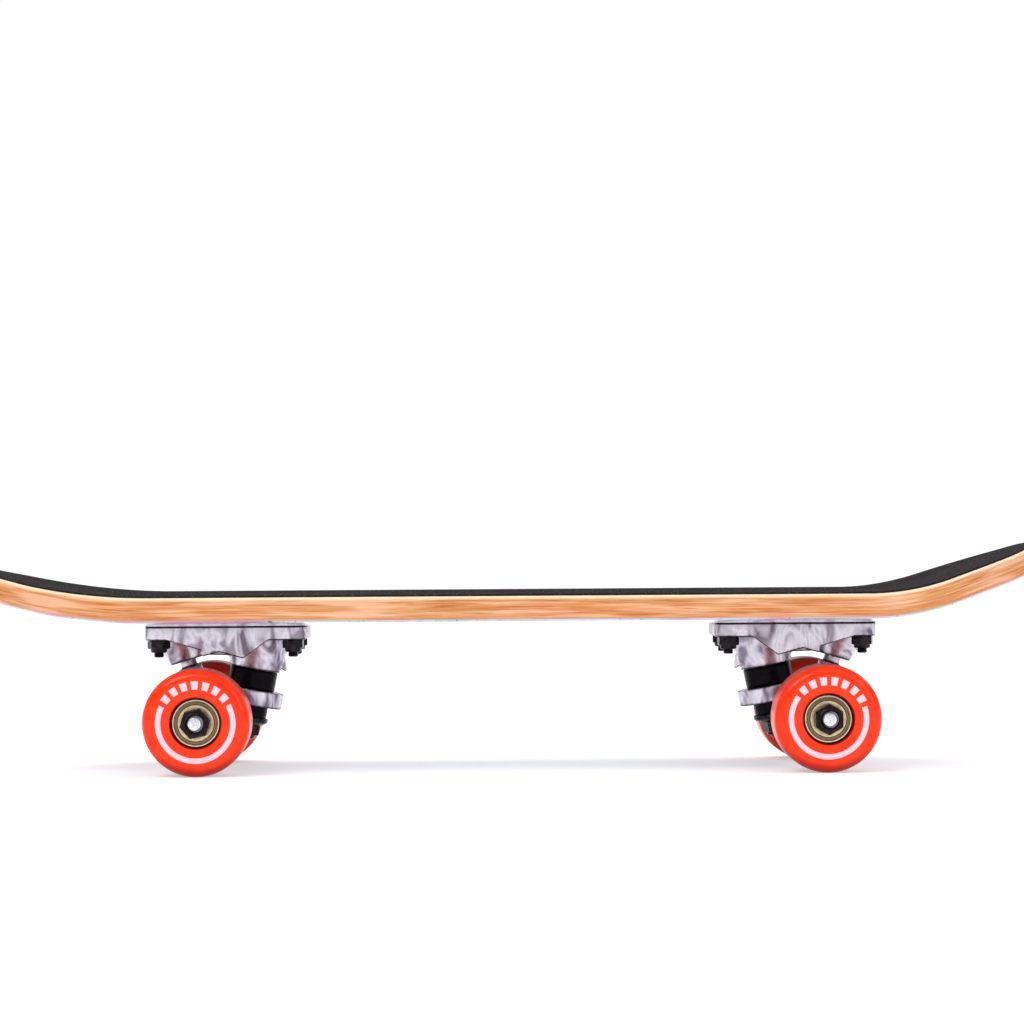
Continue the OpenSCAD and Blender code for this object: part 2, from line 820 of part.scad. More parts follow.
deck();
grip_tape();
truck(1) baseplate();  // front_baseplate
truck(1) pivot_cup();  // front_pivot_cup
truck(1) kingpin();  // front_kingpin
truck(1) upper_bushing();  // front_upper_bushing
truck(1) lower_bushing();  // front_lower_bushing
truck(1) cup_washer();  // front_cup_washer
truck(1) kingpin_nut();  // front_kingpin_nut
truck(1) hanger();  // front_hanger
truck(1) axle();  // front_axle
truck(1) mounting_bolts();  // front_mounting_bolts
truck(1) mounting_nuts();  // front_mounting_nuts
truck(-1) baseplate();  // rear_baseplate
truck(-1) pivot_cup();  // rear_pivot_cup
truck(-1) kingpin();  // rear_kingpin
truck(-1) upper_bushing();  // rear_upper_bushing
truck(-1) lower_bushing();  // rear_lower_bushing
truck(-1) cup_washer();  // rear_cup_washer
truck(-1) kingpin_nut();  // rear_kingpin_nut
truck(-1) hanger();  // rear_hanger
truck(-1) axle();  // rear_axle
truck(-1) mounting_bolts();  // rear_mounting_bolts
truck(-1) mounting_nuts();  // rear_mounting_nuts
truck(1) side(1) wheel();  // front_left_wheel
truck(1) side(1) outer_races();  // front_left_outer_races
truck(1) side(1) shields();  // front_left_shields
truck(1) side(1) cages();  // front_left_cages
truck(1) side(1) balls();  // front_left_balls
truck(1) side(1) inner_races();  // front_left_inner_races
truck(1) side(1) speed_washers();  // front_left_speed_washers
truck(1) side(1) axle_nut();  // front_left_axle_nut
truck(1) side(-1) wheel();  // front_right_wheel
truck(1) side(-1) outer_races();  // front_right_outer_races
truck(1) side(-1) shields();  // front_right_shields
truck(1) side(-1) cages();  // front_right_cages
truck(1) side(-1) balls();  // front_right_balls
truck(1) side(-1) inner_races();  // front_right_inner_races
truck(1) side(-1) speed_washers();  // front_right_speed_washers
truck(1) side(-1) axle_nut();  // front_right_axle_nut
truck(-1) side(1) wheel();  // rear_left_wheel
truck(-1) side(1) outer_races();  // rear_left_outer_races
truck(-1) side(1) shields();  // rear_left_shields
truck(-1) side(1) cages();  // rear_left_cages
truck(-1) side(1) balls();  // rear_left_balls
truck(-1) side(1) inner_races();  // rear_left_inner_races
truck(-1) side(1) speed_washers();  // rear_left_speed_washers
truck(-1) side(1) axle_nut();  // rear_left_axle_nut
truck(-1) side(-1) wheel();  // rear_right_wheel
truck(-1) side(-1) outer_races();  // rear_right_outer_races
truck(-1) side(-1) shields();  // rear_right_shields
truck(-1) side(-1) cages();  // rear_right_cages
truck(-1) side(-1) balls();  // rear_right_balls
truck(-1) side(-1) inner_races();  // rear_right_inner_races
truck(-1) side(-1) speed_washers();  // rear_right_speed_washers
truck(-1) side(-1) axle_nut();  // rear_right_axle_nut
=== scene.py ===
"""Looks of the skateboard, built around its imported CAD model.

X runs along the board towards its steeper kick, Y across it and Z up, with the ground at Z = 0.
Lengths in this script are millimetres until `make` turns them into metres.
"""

import itertools
import math

import bmesh
import bpy
import numpy as np
from mathutils import Matrix, Vector


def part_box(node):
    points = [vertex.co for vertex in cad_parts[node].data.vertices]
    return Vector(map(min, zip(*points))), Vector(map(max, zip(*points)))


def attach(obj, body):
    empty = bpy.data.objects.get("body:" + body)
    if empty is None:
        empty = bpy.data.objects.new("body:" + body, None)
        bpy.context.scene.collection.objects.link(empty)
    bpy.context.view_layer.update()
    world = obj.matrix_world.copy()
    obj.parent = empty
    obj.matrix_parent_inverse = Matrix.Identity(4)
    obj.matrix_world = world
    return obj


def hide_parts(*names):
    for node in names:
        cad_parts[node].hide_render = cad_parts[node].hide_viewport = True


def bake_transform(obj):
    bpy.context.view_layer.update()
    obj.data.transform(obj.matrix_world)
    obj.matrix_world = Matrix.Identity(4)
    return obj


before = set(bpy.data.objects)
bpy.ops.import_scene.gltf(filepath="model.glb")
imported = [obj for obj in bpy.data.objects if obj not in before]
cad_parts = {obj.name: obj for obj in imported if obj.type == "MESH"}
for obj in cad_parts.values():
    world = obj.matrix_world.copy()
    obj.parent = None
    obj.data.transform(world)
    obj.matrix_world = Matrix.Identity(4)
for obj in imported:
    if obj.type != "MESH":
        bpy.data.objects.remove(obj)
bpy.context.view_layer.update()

MM = 0.001


# ---------------------------------------------------------------- sizes, from the frame

def box_mm(node):
    low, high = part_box(node)
    return low / MM, high / MM


def middle(node):
    low, high = box_mm(node)
    return (low + high) / 2


ENDS = {"front": 1, "rear": -1}
SIDES = {"left": 1, "right": -1}
WHEELBASE = 2 * middle("front_left_wheel").x
AXLE_Z = middle("front_left_wheel").z
WHEEL_R = AXLE_Z
WHEEL_Y = middle("front_left_wheel").y
WHEEL_HALF = (box_mm("front_left_wheel")[1].y - box_mm("front_left_wheel")[0].y) / 2
AXLE_HALF = box_mm("front_axle")[1].y
PLATE_TOP = box_mm("front_baseplate")[1].z
DECK_W = box_mm("deck")[1].y * 2

# Sizes of the deck, as in the CAD model
DECK_L = 516
DECK_T = 11.4
CONCAVE_H = 2.6
FLAT_HALF_W = 31
TIP_L = 80
TIP_REACH = TIP_L * math.sin(math.radians(87))
TIP_POWER = 0.94
GRIP_T = 1
GRIP_INSET = 0.4
# Each end of the deck's path: [length of its flat part, bend radius, final angle]
PATHS = {1: (WHEELBASE / 2 + 19, 120, math.radians(21)),
         -1: (WHEELBASE / 2 + 22, 230, math.radians(16))}

# Clearances and small steps, as in the CAD model
FIT_GAP = 0.05
HOLE_GAP = 0.35
SWING_GAP = 0.35
AXLE_GAP = 0.03
BALL_GAP = 0.035
GROOVE_DEPTH = 0.53
SHIELD_SEAT_W = 0.7
SHIELD_SEAT_DEPTH = 0.75
COLLAR_INSET = 0.9

# Sizes of the truck, as in the CAD model, measured from the axle
HANGER_W = 83
WASHER_T = 1
BEARING_W = 7
BEARING_R = 11
BORE_R = 4
AXLE_R = BORE_R - AXLE_GAP
HUB_RIB = 10
PITCH_R = 7.5
BALL_R = 1.9845
INNER_RACE_R = PITCH_R - BALL_R + GROOVE_DEPTH
OUTER_RACE_R = PITCH_R + BALL_R - GROOVE_DEPTH
NUT_AF = 12.7
NUT_H = 5.2
COLLAR_H = 2
KINGPIN_TILT = math.radians(11.5)
KINGPIN_R = 4.75
SEAT = (-23.494, 22.809)
UPPER_R = 11.5
UPPER_H = 9.5
LOWER_R = 10.2
LOWER_H = 7.3
RING_T = 7.5
CUP_BASE = 1.8
CUP_LIP = 1.6
CUP_WASHER_R = LOWER_R + 0.95
KINGPIN_NUT_AF = 14.3
KINGPIN_NUT_H = 5.4
KINGPIN_COLLAR_H = 1.6
KINGPIN_PROUD = 1.4
KINGPIN_HEAD_R = KINGPIN_R + 2.25
KINGPIN_HEAD_H = 4.5
KINGPIN_HEAD_TOP = 14.6
PIVOT = (9.2, 29.7)
PIVOT_R = 4.8
PIVOT_CUP_WALL = 1.6
PIVOT_RIM_DROP = 3
BOLT_X = 63.5
BOLT_Y = 41.3
BOLT_R = 2.4
BOLT_HEAD_R = 4.6
BOLT_NUT_AF = 9.5
BOLT_NUT_H = 4
BOLT_COLLAR_H = 1.8
BOLT_PROUD = 2.2
PLATE_SHIFT = 11.3
PLATE_T = 7

RACE_START = HANGER_W / 2 + WASHER_T
NUT_START = RACE_START + 2 * BEARING_W + HUB_RIB + WASHER_T
LOWER_S = UPPER_H + RING_T
CUP_FLOOR = LOWER_S + LOWER_H
CUP_END = CUP_FLOOR + CUP_BASE


# ---------------------------------------------------------------- shader helpers

class Paint:
    """A material whose pattern nodes are added by short calls."""

    def __init__(self, name):
        self.material = bpy.data.materials.new(name)
        self.material.use_nodes = True
        self.tree = self.material.node_tree
        self.shader = self.tree.nodes["Principled BSDF"]

    def add(self, kind, **settings):
        node = self.tree.nodes.new("ShaderNode" + kind)
        for key, value in settings.items():
            setattr(node, key, value)
        return node

    def set(self, **sockets):
        """Sets sockets of the shader: a number, a colour or another node's output."""
        for key, value in sockets.items():
            self.join(self.shader.inputs[key.replace("_", " ")], value)
        return self

    def join(self, socket, value):
        if isinstance(value, bpy.types.NodeSocket):
            self.tree.links.new(value, socket)
        elif isinstance(value, tuple) and len(value) == 3 and socket.type == "RGBA":
            socket.default_value = (*value, 1)
        else:
            socket.default_value = value

    def place(self, scale=(1, 1, 1), attribute=None):
        """Coordinates in millimetres: the object's own, or the deck's lay, times a scale."""
        if attribute:
            source = self.add("Attribute", attribute_name=attribute).outputs["Vector"]
            unit = 1
        else:
            source = self.add("TexCoord").outputs["Object"]
            unit = 1 / MM
        mapping = self.add("Mapping")
        self.join(mapping.inputs["Vector"], source)
        mapping.inputs["Scale"].default_value = [unit * s for s in scale]
        return mapping.outputs["Vector"]

    def noise(self, vector, scale, detail=3, rough=0.5, warp=0):
        node = self.add("TexNoise")
        self.join(node.inputs["Vector"], vector)
        for key, value in {"Scale": scale, "Detail": detail, "Roughness": rough,
                           "Distortion": warp}.items():
            node.inputs[key].default_value = value
        return node.outputs["Fac"]

    def lay_noise(self, stretch, scale, detail=3, rough=0.5, warp=0):
        """Noise stretched along, across and through the deck."""
        return self.noise(self.place(stretch, "lay"), scale, detail, rough, warp)

    def metal_noise(self, scale=0.5, warp=0.5):
        """A clouded tone and fine turning marks."""
        cloudy = self.noise(self.place(), scale, 4, 0.6, warp)
        return cloudy, self.noise(self.place(), 2.5, 4, 0.7)

    def cells(self, vector, scale, feature="F1", output="Distance"):
        node = self.add("TexVoronoi", feature=feature)
        self.join(node.inputs["Vector"], vector)
        node.inputs["Scale"].default_value = scale
        return node.outputs[output]

    def curve(self, value, *stops):
        """A smooth change through stops of (place, colour or grey)."""
        node = self.add("ValToRGB")
        self.join(node.inputs["Fac"], value)
        points = node.color_ramp.elements
        while len(points) < len(stops):
            points.new(0.5)
        for point, (where, tone) in zip(points, stops):
            point.position = where
            point.color = (*tone, 1) if isinstance(tone, tuple) else (tone, tone, tone, 1)
        return node.outputs["Color"]

    def spread(self, value, low, high):
        """From low to high over the middle of a noise."""
        return self.curve(value, (0.3, low), (0.7, high))

    def mix(self, factor, a, b, blend="MIX"):
        node = self.add("Mix", data_type="RGBA", blend_type=blend)
        self.join(node.inputs[0], factor)
        self.join(node.inputs[6], a)
        self.join(node.inputs[7], b)
        return node.outputs[2]

    def math(self, operation, a, b=0.0):
        node = self.add("Math", operation=operation)
        self.join(node.inputs[0], a)
        self.join(node.inputs[1], b)
        return node.outputs[0]

    def split(self, vector):
        node = self.add("SeparateXYZ")
        self.join(node.inputs[0], vector)
        return node.outputs

    def radius(self):
        """Distance in millimetres from the object's own Z axis."""
        x, y = self.split(self.place((1, 1, 0)))[:2]
        return self.math("SQRT", self.math("ADD", self.math("MULTIPLY", x, x),
                                           self.math("MULTIPLY", y, y)))

    def ring(self, radius, first, last, soft, strength=1.0):
        """A soft-edged ring between two radii."""
        middle_r, half = (first + last) / 2, (last - first) / 2
        off = self.math("ABSOLUTE", self.math("SUBTRACT", radius, middle_r))
        share = self.math("DIVIDE", off, 2 * (half + soft))
        edge = half / (half + soft) / 2
        return self.curve(share, (edge, strength), (0.5, 0.0))

    def bump(self, height, depth, strength=1.0):
        """Bumps of a depth in millimetres."""
        node = self.add("Bump")
        node.inputs["Distance"].default_value = depth * MM
        node.inputs["Strength"].default_value = strength
        self.join(node.inputs["Height"], height)
        self.join(self.shader.inputs["Normal"], node.outputs["Normal"])
        return self


def colour(r, g, b):
    """A linear colour from its 0 to 255 display values."""
    return tuple(((c / 255 + 0.055) / 1.055) ** 2.4 if c > 10 else c / 255 / 12.92
                 for c in (r, g, b))


# ---------------------------------------------------------------- materials

def deck_edge_paint():
    """Cut edge of the laminate: streaked plies, a cream top ply and a few darker knots."""
    paint = Paint("deck_edge")
    lay = paint.place(attribute="lay")
    height = paint.split(lay)[2]
    streaks = paint.lay_noise((0.03, 0.045, 1.7), 1, 6, 0.66, 0.5)
    fine = paint.lay_noise((0.1, 0.14, 5), 1, 4, 0.7)
    body = paint.curve(streaks, (0.32, colour(160, 92, 42)), (0.42, colour(196, 128, 74)),
                       (0.52, colour(216, 156, 104)), (0.6, colour(226, 174, 126)),
                       (0.7, colour(238, 202, 162)))
    grain = paint.curve(fine, (0.3, colour(184, 116, 68)), (0.62, colour(255, 242, 224)))
    body = paint.mix(0.42, body, grain, "MULTIPLY")
    # Thin glue lines between the seven plies
    ply = paint.math("FRACT", paint.math("DIVIDE", height, DECK_T / 7))
    line = paint.curve(ply, (0, 0.4), (0.08, 0.0), (0.92, 0.0), (1, 0.4))
    body = paint.mix(line, body, colour(164, 96, 50))
    # Broad tone changes along the board: orange stretches and paler, pinkish ones
    tone = paint.lay_noise((0.011, 0.015, 0.16), 1, 2, 0.5)
    body = paint.mix(paint.curve(tone, (0.45, 0.0), (0.66, 0.36)), body, colour(206, 112, 52))
    pale = paint.lay_noise((0.016, 0.02, 0.3), 1.3, 2, 0.5)
    body = paint.mix(paint.curve(pale, (0.48, 0.0), (0.64, 0.6)), body, colour(238, 190, 158))
    # Darker knots
    knot = paint.lay_noise((0.028, 0.035, 0.8), 1, 3, 0.6, 0.3)
    body = paint.mix(paint.curve(knot, (0.6, 0.0), (0.72, 0.6)), body, colour(158, 84, 38))
    # Pale top ply, and a duller, pinker band low on the edge
    share = paint.math("DIVIDE", height, DECK_T)
    top = paint.curve(share, (0.83, 0.0), (0.93, 0.88))
    body = paint.mix(top, body, paint.curve(fine, (0.3, colour(226, 192, 150)),
                                            (0.6, colour(250, 232, 202))))
    low = paint.curve(share, (0.09, 0.6), (0.2, 0.0))
    body = paint.mix(low, body, colour(196, 146, 116))
    paint.set(Base_Color=body, Roughness=paint.spread(streaks, 0.62, 0.45),
              Specular_IOR_Level=0.2)
    return paint.bump(paint.mix(0.5, streaks, fine), 0.12, 0.5).material


def deck_print_paint():
    """Lacquered underside: soft pastel clouds with thin dark contour lines."""
    paint = Paint("deck_print")
    clouds = paint.lay_noise((0.02, 0.03, 0.02), 1, 2, 0.45, 1.2)
    drift = paint.lay_noise((0.03, 0.022, 0.02), 1.3, 3, 0.5, 0.6)
    base = paint.curve(clouds, (0.34, colour(140, 176, 208)), (0.45, colour(188, 202, 224)),
                       (0.53, colour(196, 188, 214)), (0.62, colour(206, 150, 184)),
                       (0.72, colour(160, 134, 194)))
    base = paint.mix(paint.curve(drift, (0.5, 0.0), (0.62, 0.8)), base, colour(170, 204, 198))
    rings = paint.math("FRACT", paint.math("MULTIPLY", clouds, 9))
    lines = paint.curve(rings, (0.0, 0.0), (0.47, 0.0), (0.5, 0.85), (0.53, 0.0))
    base = paint.mix(lines, base, colour(52, 48, 66))
    wear = paint.lay_noise((0.4, 1.6, 1), 1, 4, 0.7)
    paint.set(Base_Color=base, Roughness=paint.curve(wear, (0.35, 0.16), (0.7, 0.34)),
              Coat_Weight=0.6, Coat_Roughness=0.12)
    return paint.bump(wear, 0.03, 0.4).material


def deck_top_paint():
    """Bare maple of the top ply, seen only round the bolts."""
    paint = Paint("deck_top")
    grain = paint.lay_noise((0.03, 1.2, 1), 1, 6, 0.65, 0.5)
    base = paint.curve(grain, (0.3, colour(214, 168, 118)), (0.7, colour(246, 220, 178)))
    paint.set(Base_Color=base, Roughness=0.6)
    return paint.bump(grain, 0.08, 0.5).material


def grip_paint():
    """Dark abrasive sheet: coarse grit, a dusty tone and a few glossier grains painted bright as
    glints.
    """
    paint = Paint("grip")
    place = paint.place(attribute="lay")
    grit = paint.cells(place, 2.6)
    fine = paint.noise(place, 5, 3, 0.7)
    tone = paint.lay_noise((0.03, 0.06, 0.2), 1, 4, 0.6)
    base = paint.curve(tone, (0.35, colour(33, 28, 30)), (0.66, colour(48, 41, 44)))
    base = paint.mix(paint.spread(fine, 0.7, 0.0), base, colour(20, 17, 19))
    # Painted glints: a few grains get a lighter colour standing in for sparkle, as well as a
    # lower roughness
    glint = paint.split(paint.cells(place, 2.8, output="Color"))[0]
    glint = paint.curve(glint, (0.97, 0.0), (0.985, 1.0))
    base = paint.mix(glint, base, colour(104, 96, 100))
    paint.set(Base_Color=base, Roughness=paint.curve(glint, (0, 0.93), (1, 0.4)),
              Specular_IOR_Level=0.12)
    return paint.bump(paint.mix(0.4, grit, fine), 0.25, 0.9).material


def cast_paint():
    """Tumbled die-cast aluminium: lilac grey, with soft dark streaks painted in as reflections,
    cast grain, painted shade in folds, recesses and on downward edges, and a painted contact
    shadow where the plate meets the deck."""
    paint = Paint("cast_aluminium")
    place = paint.place()
    # Painted reflection: soft dark streaks in the colour stand in for reflections on the polished
    # casting
    tone = paint.noise(paint.place((0.12, 0.1, 0.06)), 1, 2, 0.5, 0.8)
    base = paint.curve(tone, (0.34, colour(112, 100, 116)), (0.44, colour(178, 170, 184)),
                       (0.55, colour(218, 212, 224)), (0.68, colour(146, 134, 150)))
    # Painted shade: darker plum where other surfaces lie within 9 mm, in recesses and between
    # parts
    recess_shade = paint.add("AmbientOcclusion", samples=16)
    recess_shade.inputs["Distance"].default_value = 9 * MM
    base = paint.mix(paint.curve(recess_shade.outputs["AO"], (0.22, 0.85), (0.72, 0.0)), base,
                     colour(74, 46, 60))
    # Painted shade: creases darkened according to the fold measure
    fold = paint.add("Attribute", attribute_name="fold").outputs["Fac"]
    base = paint.mix(paint.curve(fold, (0.02, 0.0), (0.09, 0.94)), base, colour(42, 20, 34))
    # Painted shade: ridges on downward-facing edges are darkened
    ridge = paint.math("MULTIPLY", fold, -1)
    facing = paint.split(paint.add("TexCoord").outputs["Normal"])[2]
    down = paint.curve(paint.math("MULTIPLY", paint.math("SUBTRACT", 1, facing), 0.5),
                       (0.55, 0.0), (0.7, 1.0))
    rim = paint.math("MULTIPLY", down, paint.curve(ridge, (0.012, 0.0), (0.05, 0.92)))
    base = paint.mix(rim, base, colour(54, 30, 44))
    # Painted contact shadow: a near-black band at the top of the plate, where it meets the deck
    depth = paint.math("DIVIDE", paint.math("SUBTRACT", PLATE_TOP, paint.split(place)[2]), 10)
    base = paint.mix(paint.curve(depth, (0.1, 0.97), (0.13, 0.0)), base, colour(12, 8, 12))
    cloudy = paint.noise(place, 0.35, 4, 0.6)
    grain = paint.noise(place, 2.6, 2, 0.5)
    waves = paint.noise(place, 0.22, 2, 0.4)
    paint.set(Base_Color=base, Metallic=0.85,
              Roughness=paint.spread(cloudy, 0.24, 0.36))
    return paint.bump(paint.mix(0.08, waves, grain), 0.09, 0.5).material


def urethane_paint():
    """Glossy cast urethane of a wheel, a little duller on the rolling face."""
    paint = Paint("wheel_urethane")
    place = paint.place()
    radius = paint.radius()
    tread = paint.curve(paint.math("DIVIDE", radius, WHEEL_R), (0.955, 0.0), (0.99, 1.0))
    mottle = paint.noise(place, 0.12, 3, 0.5)
    base = paint.curve(mottle, (0.35, colour(234, 44, 0)), (0.65, colour(246, 57, 2)))
    scuff = paint.noise(paint.place((1.4, 1.4, 0.25)), 1, 5, 0.7)
    dusty = paint.math("MULTIPLY", tread, paint.curve(scuff, (0.5, 0.0), (0.72, 0.25)))
    base = paint.mix(dusty, base, colour(206, 84, 56))
    # Painted shade: a dark ring round the bearing seat, where the gap to the bearing lies in
    # shadow, and a deeper red where other parts keep light away
    base = paint.mix(paint.ring(radius, BEARING_R - 0.2, BEARING_R + 0.45, 0.8, 0.96), base,
                     colour(46, 8, 10))
    shade = paint.add("AmbientOcclusion", samples=8)
    shade.inputs["Distance"].default_value = 48 * MM
    base = paint.mix(paint.curve(shade.outputs["AO"], (0.18, 0.85), (0.5, 0.0)), base,
                     colour(120, 4, 10))
    dull = paint.mix(tread, paint.spread(mottle, 0.1, 0.16), (0.3, 0.3, 0.3))
    paint.set(Base_Color=base, Roughness=dull, Specular_IOR_Level=0.24,
              Subsurface_Weight=0.06, Subsurface_Radius=(1.0, 0.25, 0.1),
              Subsurface_Scale=1.2 * MM)
    return paint.bump(scuff, 0.03, 0.3).material


def ink_paint():
    """Pale pad-printed ink."""
    paint = Paint("wheel_ink")
    place = paint.place()
    specks = paint.noise(place, 2.2, 4, 0.7)
    base = paint.curve(specks, (0.3, colour(250, 186, 200)), (0.62, colour(252, 208, 218)))
    paint.set(Base_Color=base, Roughness=paint.spread(specks, 0.5, 0.3),
              Specular_IOR_Level=0.2)
    return paint.bump(specks, 0.01, 0.4).material


def metal_paint(name, dark, light, rough):
    """Metal with a clouded tone and fine turning marks, dark and light its two colours."""
    paint = Paint(name)
    cloudy, marks = paint.metal_noise()
    paint.set(Base_Color=paint.curve(cloudy, (0.32, dark), (0.68, light)), Metallic=1.0,
              Roughness=paint.spread(marks, rough[0], rough[1]))
    return paint.bump(marks, 0.02, 0.6).material


def rubber_paint(name, dark, light, rough, shine=0.5):
    """Moulded rubber or plastic with a faint bloom."""
    paint = Paint(name)
    place = paint.place()
    bloom = paint.noise(place, 0.25, 4, 0.6, 0.4)
    skin = paint.noise(place, 2.4, 3, 0.6)
    paint.set(Base_Color=paint.curve(bloom, (0.35, dark), (0.68, light)),
              Roughness=paint.spread(bloom, rough[0], rough[1]),
              Specular_IOR_Level=shine)
    return paint.bump(skin, 0.03, 0.4).material


def shield_paint():
    """Zinc-plated pressed steel: pale straw in the middle, a dark line painted as shade at its
    step, and an olive rim.
    """
    paint = Paint("bearing_shield")
    radius = paint.radius()
    cloudy, marks = paint.metal_noise()
    base = paint.curve(cloudy, (0.34, colour(188, 164, 122)), (0.66, colour(226, 206, 170)))
    base = paint.mix(paint.ring(radius, 8.75, 10.4, 0.25, 0.9), base, colour(112, 98, 70))
    # Painted shade: a near-black line at the shield's step
    base = paint.mix(paint.ring(radius, 8.45, 8.62, 0.22, 0.95), base, colour(24, 18, 12))
    paint.set(Base_Color=base, Metallic=0.9, Roughness=paint.spread(marks, 0.3, 0.46))
    return paint.bump(marks, 0.02, 0.6).material


def race_paint():
    """Ground bearing steel with a dulled face, a painted dark gap line and a painted highlight on
    the outer ring's rounded rim.
    """
    paint = Paint("bearing_steel")
    radius = paint.radius()
    cloudy, marks = paint.metal_noise(0.6)
    base = paint.curve(cloudy, (0.34, colour(118, 104, 80)), (0.66, colour(166, 150, 122)))
    # Painted shade: a dark gap line on the outer race's face
    base = paint.mix(paint.ring(radius, 10.02, 10.12, 0.16, 0.9), base, colour(38, 30, 22))
    # Painted highlight: a near-white ring on the outer race's rounded rim
    base = paint.mix(paint.ring(radius, 10.5, 10.9, 0.12, 0.95), base, colour(246, 232, 214))
    paint.set(Base_Color=base, Metallic=0.95, Roughness=paint.spread(marks, 0.22, 0.38))
    return paint.bump(marks, 0.015, 0.6).material


def axle_paint():
    """Bright turned end of the axle inside a darker threaded rim, the rim's darker reflection
    painted in.
    """
    paint = Paint("axle_end")
    radius = paint.radius()
    cloudy, marks = paint.metal_noise(0.9, 0.8)
    base = paint.curve(cloudy, (0.34, colour(170, 172, 180)), (0.5, colour(226, 230, 236)),
                       (0.66, colour(196, 202, 210)))
    # Painted reflection: the chamfer and thread beyond the end face are darkened, as they reflect
    # darker
    base = paint.mix(paint.curve(paint.math("DIVIDE", radius, AXLE_R), (0.7, 0.0), (0.78, 0.85)),
                     base, colour(112, 112, 122))
    paint.set(Base_Color=base, Metallic=1.0, Roughness=paint.spread(marks, 0.2, 0.4))
    return paint.bump(paint.mix(0.4, cloudy, marks), 0.06, 0.6).material


PAINTS = {
    "edge": deck_edge_paint(),
    "print": deck_print_paint(),
    "top": deck_top_paint(),
    "grip": grip_paint(),
    "cast": cast_paint(),
    "urethane": urethane_paint(),
    "ink": ink_paint(),
    "bushing": rubber_paint("bushing_urethane", colour(7, 5, 8), colour(16, 12, 18),
                            (0.14, 0.26), shine=0.05),
    "rubber": rubber_paint("black_rubber", colour(24, 22, 26), colour(40, 37, 42), (0.5, 0.7),
                           shine=0.25),
    "nylon": rubber_paint("cage_nylon", colour(188, 168, 120), colour(214, 196, 150), (0.4, 0.6)),
    "black": metal_paint("black_steel", colour(24, 20, 23), colour(52, 45, 49), (0.18, 0.36)),
    "steel": metal_paint("axle_steel", colour(176, 186, 196), colour(222, 230, 238),
                         (0.18, 0.34)),
    "axle": axle_paint(),
    "bearing": race_paint(),
    "shield": shield_paint(),
}


# ---------------------------------------------------------------- mesh helpers

def rounded(corners, closed=True, steps=5):
    """An outline from corners (r, z, fillet), each corner rounded by its fillet radius."""
    outline = []
    for i, (r, z, fillet) in enumerate(corners):
        here = Vector((r, z))
        ends = not closed and i in (0, len(corners) - 1)
        if fillet == 0 or ends:
            outline.append((r, z))
            continue
        before = (Vector(corners[i - 1][:2]) - here).normalized()
        after = (Vector(corners[(i + 1) % len(corners)][:2]) - here).normalized()
        half = before.angle(after) / 2
        centre = here + (before + after).normalized() * fillet / math.sin(half)
        start = here + before * fillet / math.tan(half) - centre
        end = here + after * fillet / math.tan(half) - centre
        first = math.atan2(start.y, start.x)
        turn = math.atan2(start.x * end.y - start.y * end.x, start.dot(end))
        for k in range(steps + 1):
            angle = first + turn * k / steps
            outline.append((centre.x + fillet * math.cos(angle),
                            centre.y + fillet * math.sin(angle)))
    return outline


def turned(outline, segments=96, closed=True, shape=None):
    """Mesh of an outline turned about Z. shape(angle, r, z) may move each of its points."""
    points, faces = [], []
    rows = len(outline)
    for i in range(segments):
        angle = 2 * math.pi * i / segments
        for r, z in outline:
            if shape:
                r, z = shape(angle, r, z)
            points.append((r * math.cos(angle), r * math.sin(angle), z))
    for i in range(segments):
        j = (i + 1) % segments
        for k in range(rows if closed else rows - 1):
            m = (k + 1) % rows
            faces.append((i * rows + k, j * rows + k, j * rows + m, i * rows + m))
    return points, faces


def clean(data, merge=True):
    """Turns a mesh's faces outwards, after merging its doubled points."""
    work = bmesh.new()
    work.from_mesh(data)
    if merge:
        bmesh.ops.remove_doubles(work, verts=work.verts, dist=1e-6)
    bmesh.ops.recalc_face_normals(work, faces=work.faces)
    work.to_mesh(data)
    work.free()


def placed(name, data):
    """A new object in the scene."""
    thing = bpy.data.objects.new(name, data)
    bpy.context.scene.collection.objects.link(thing)
    return thing


def make(name, solids, paint, body, at=Matrix(), replaces=(), sharp=35, ride=True):
    """One object from solids, a list of (mesh, matrix), in a local frame placed by `at`."""
    points, faces = [], []
    for (own_points, own_faces), matrix in solids:
        start = len(points)
        points += [matrix @ Vector(p) for p in own_points]
        faces += [[start + k for k in face] for face in own_faces]
    data = bpy.data.meshes.new(name)
    data.from_pydata([p * MM for p in points], [], faces)
    clean(data)
    piece = placed(name, data)
    place = at.copy()
    place.translation = at.translation * MM
    piece.matrix_world = place
    return finish_piece(piece, paint, body if ride else None, replaces, sharp)


def finish_piece(piece, paint, body, replaces, sharp=35):
    if paint:
        piece.data.materials.clear()
        piece.data.materials.append(PAINTS[paint])
    piece.data.shade_smooth()
    piece.data.set_sharp_from_angle(angle=math.radians(sharp))
    if body:
        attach(piece, body)
    if replaces:
        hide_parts(*replaces)
    return piece


def shifted(x=0, y=0, z=0):
    return Matrix.Translation((x, y, z))


def turned_about(axis, angle):
    return Matrix.Rotation(angle, 4, axis)


def truck_frame(end):
    """Frame round the axle with X towards that end of the board. The truck is symmetric."""
    return shifted(end * WHEELBASE / 2, 0, AXLE_Z) @ turned_about("Z", 0 if end > 0 else math.pi)


def kingpin_frame(end, s=0):
    """Frame of the kingpin, s down from the bushing seat, Z up along the kingpin."""
    return (truck_frame(end) @ shifted(SEAT[0], 0, SEAT[1])
            @ turned_about("Y", -KINGPIN_TILT) @ shifted(z=-s))


def stem_frame(end):
    lean = math.atan2(PIVOT[0], PIVOT[1])
    return truck_frame(end) @ shifted(PIVOT[0], 0, PIVOT[1]) @ turned_about("Y", lean)


def side_frame(end, side, y=0):
    """Frame on the axle with Z outwards on one side of the board."""
    return (shifted(end * WHEELBASE / 2, side * y, AXLE_Z)
            @ turned_about("X", -side * math.pi / 2))


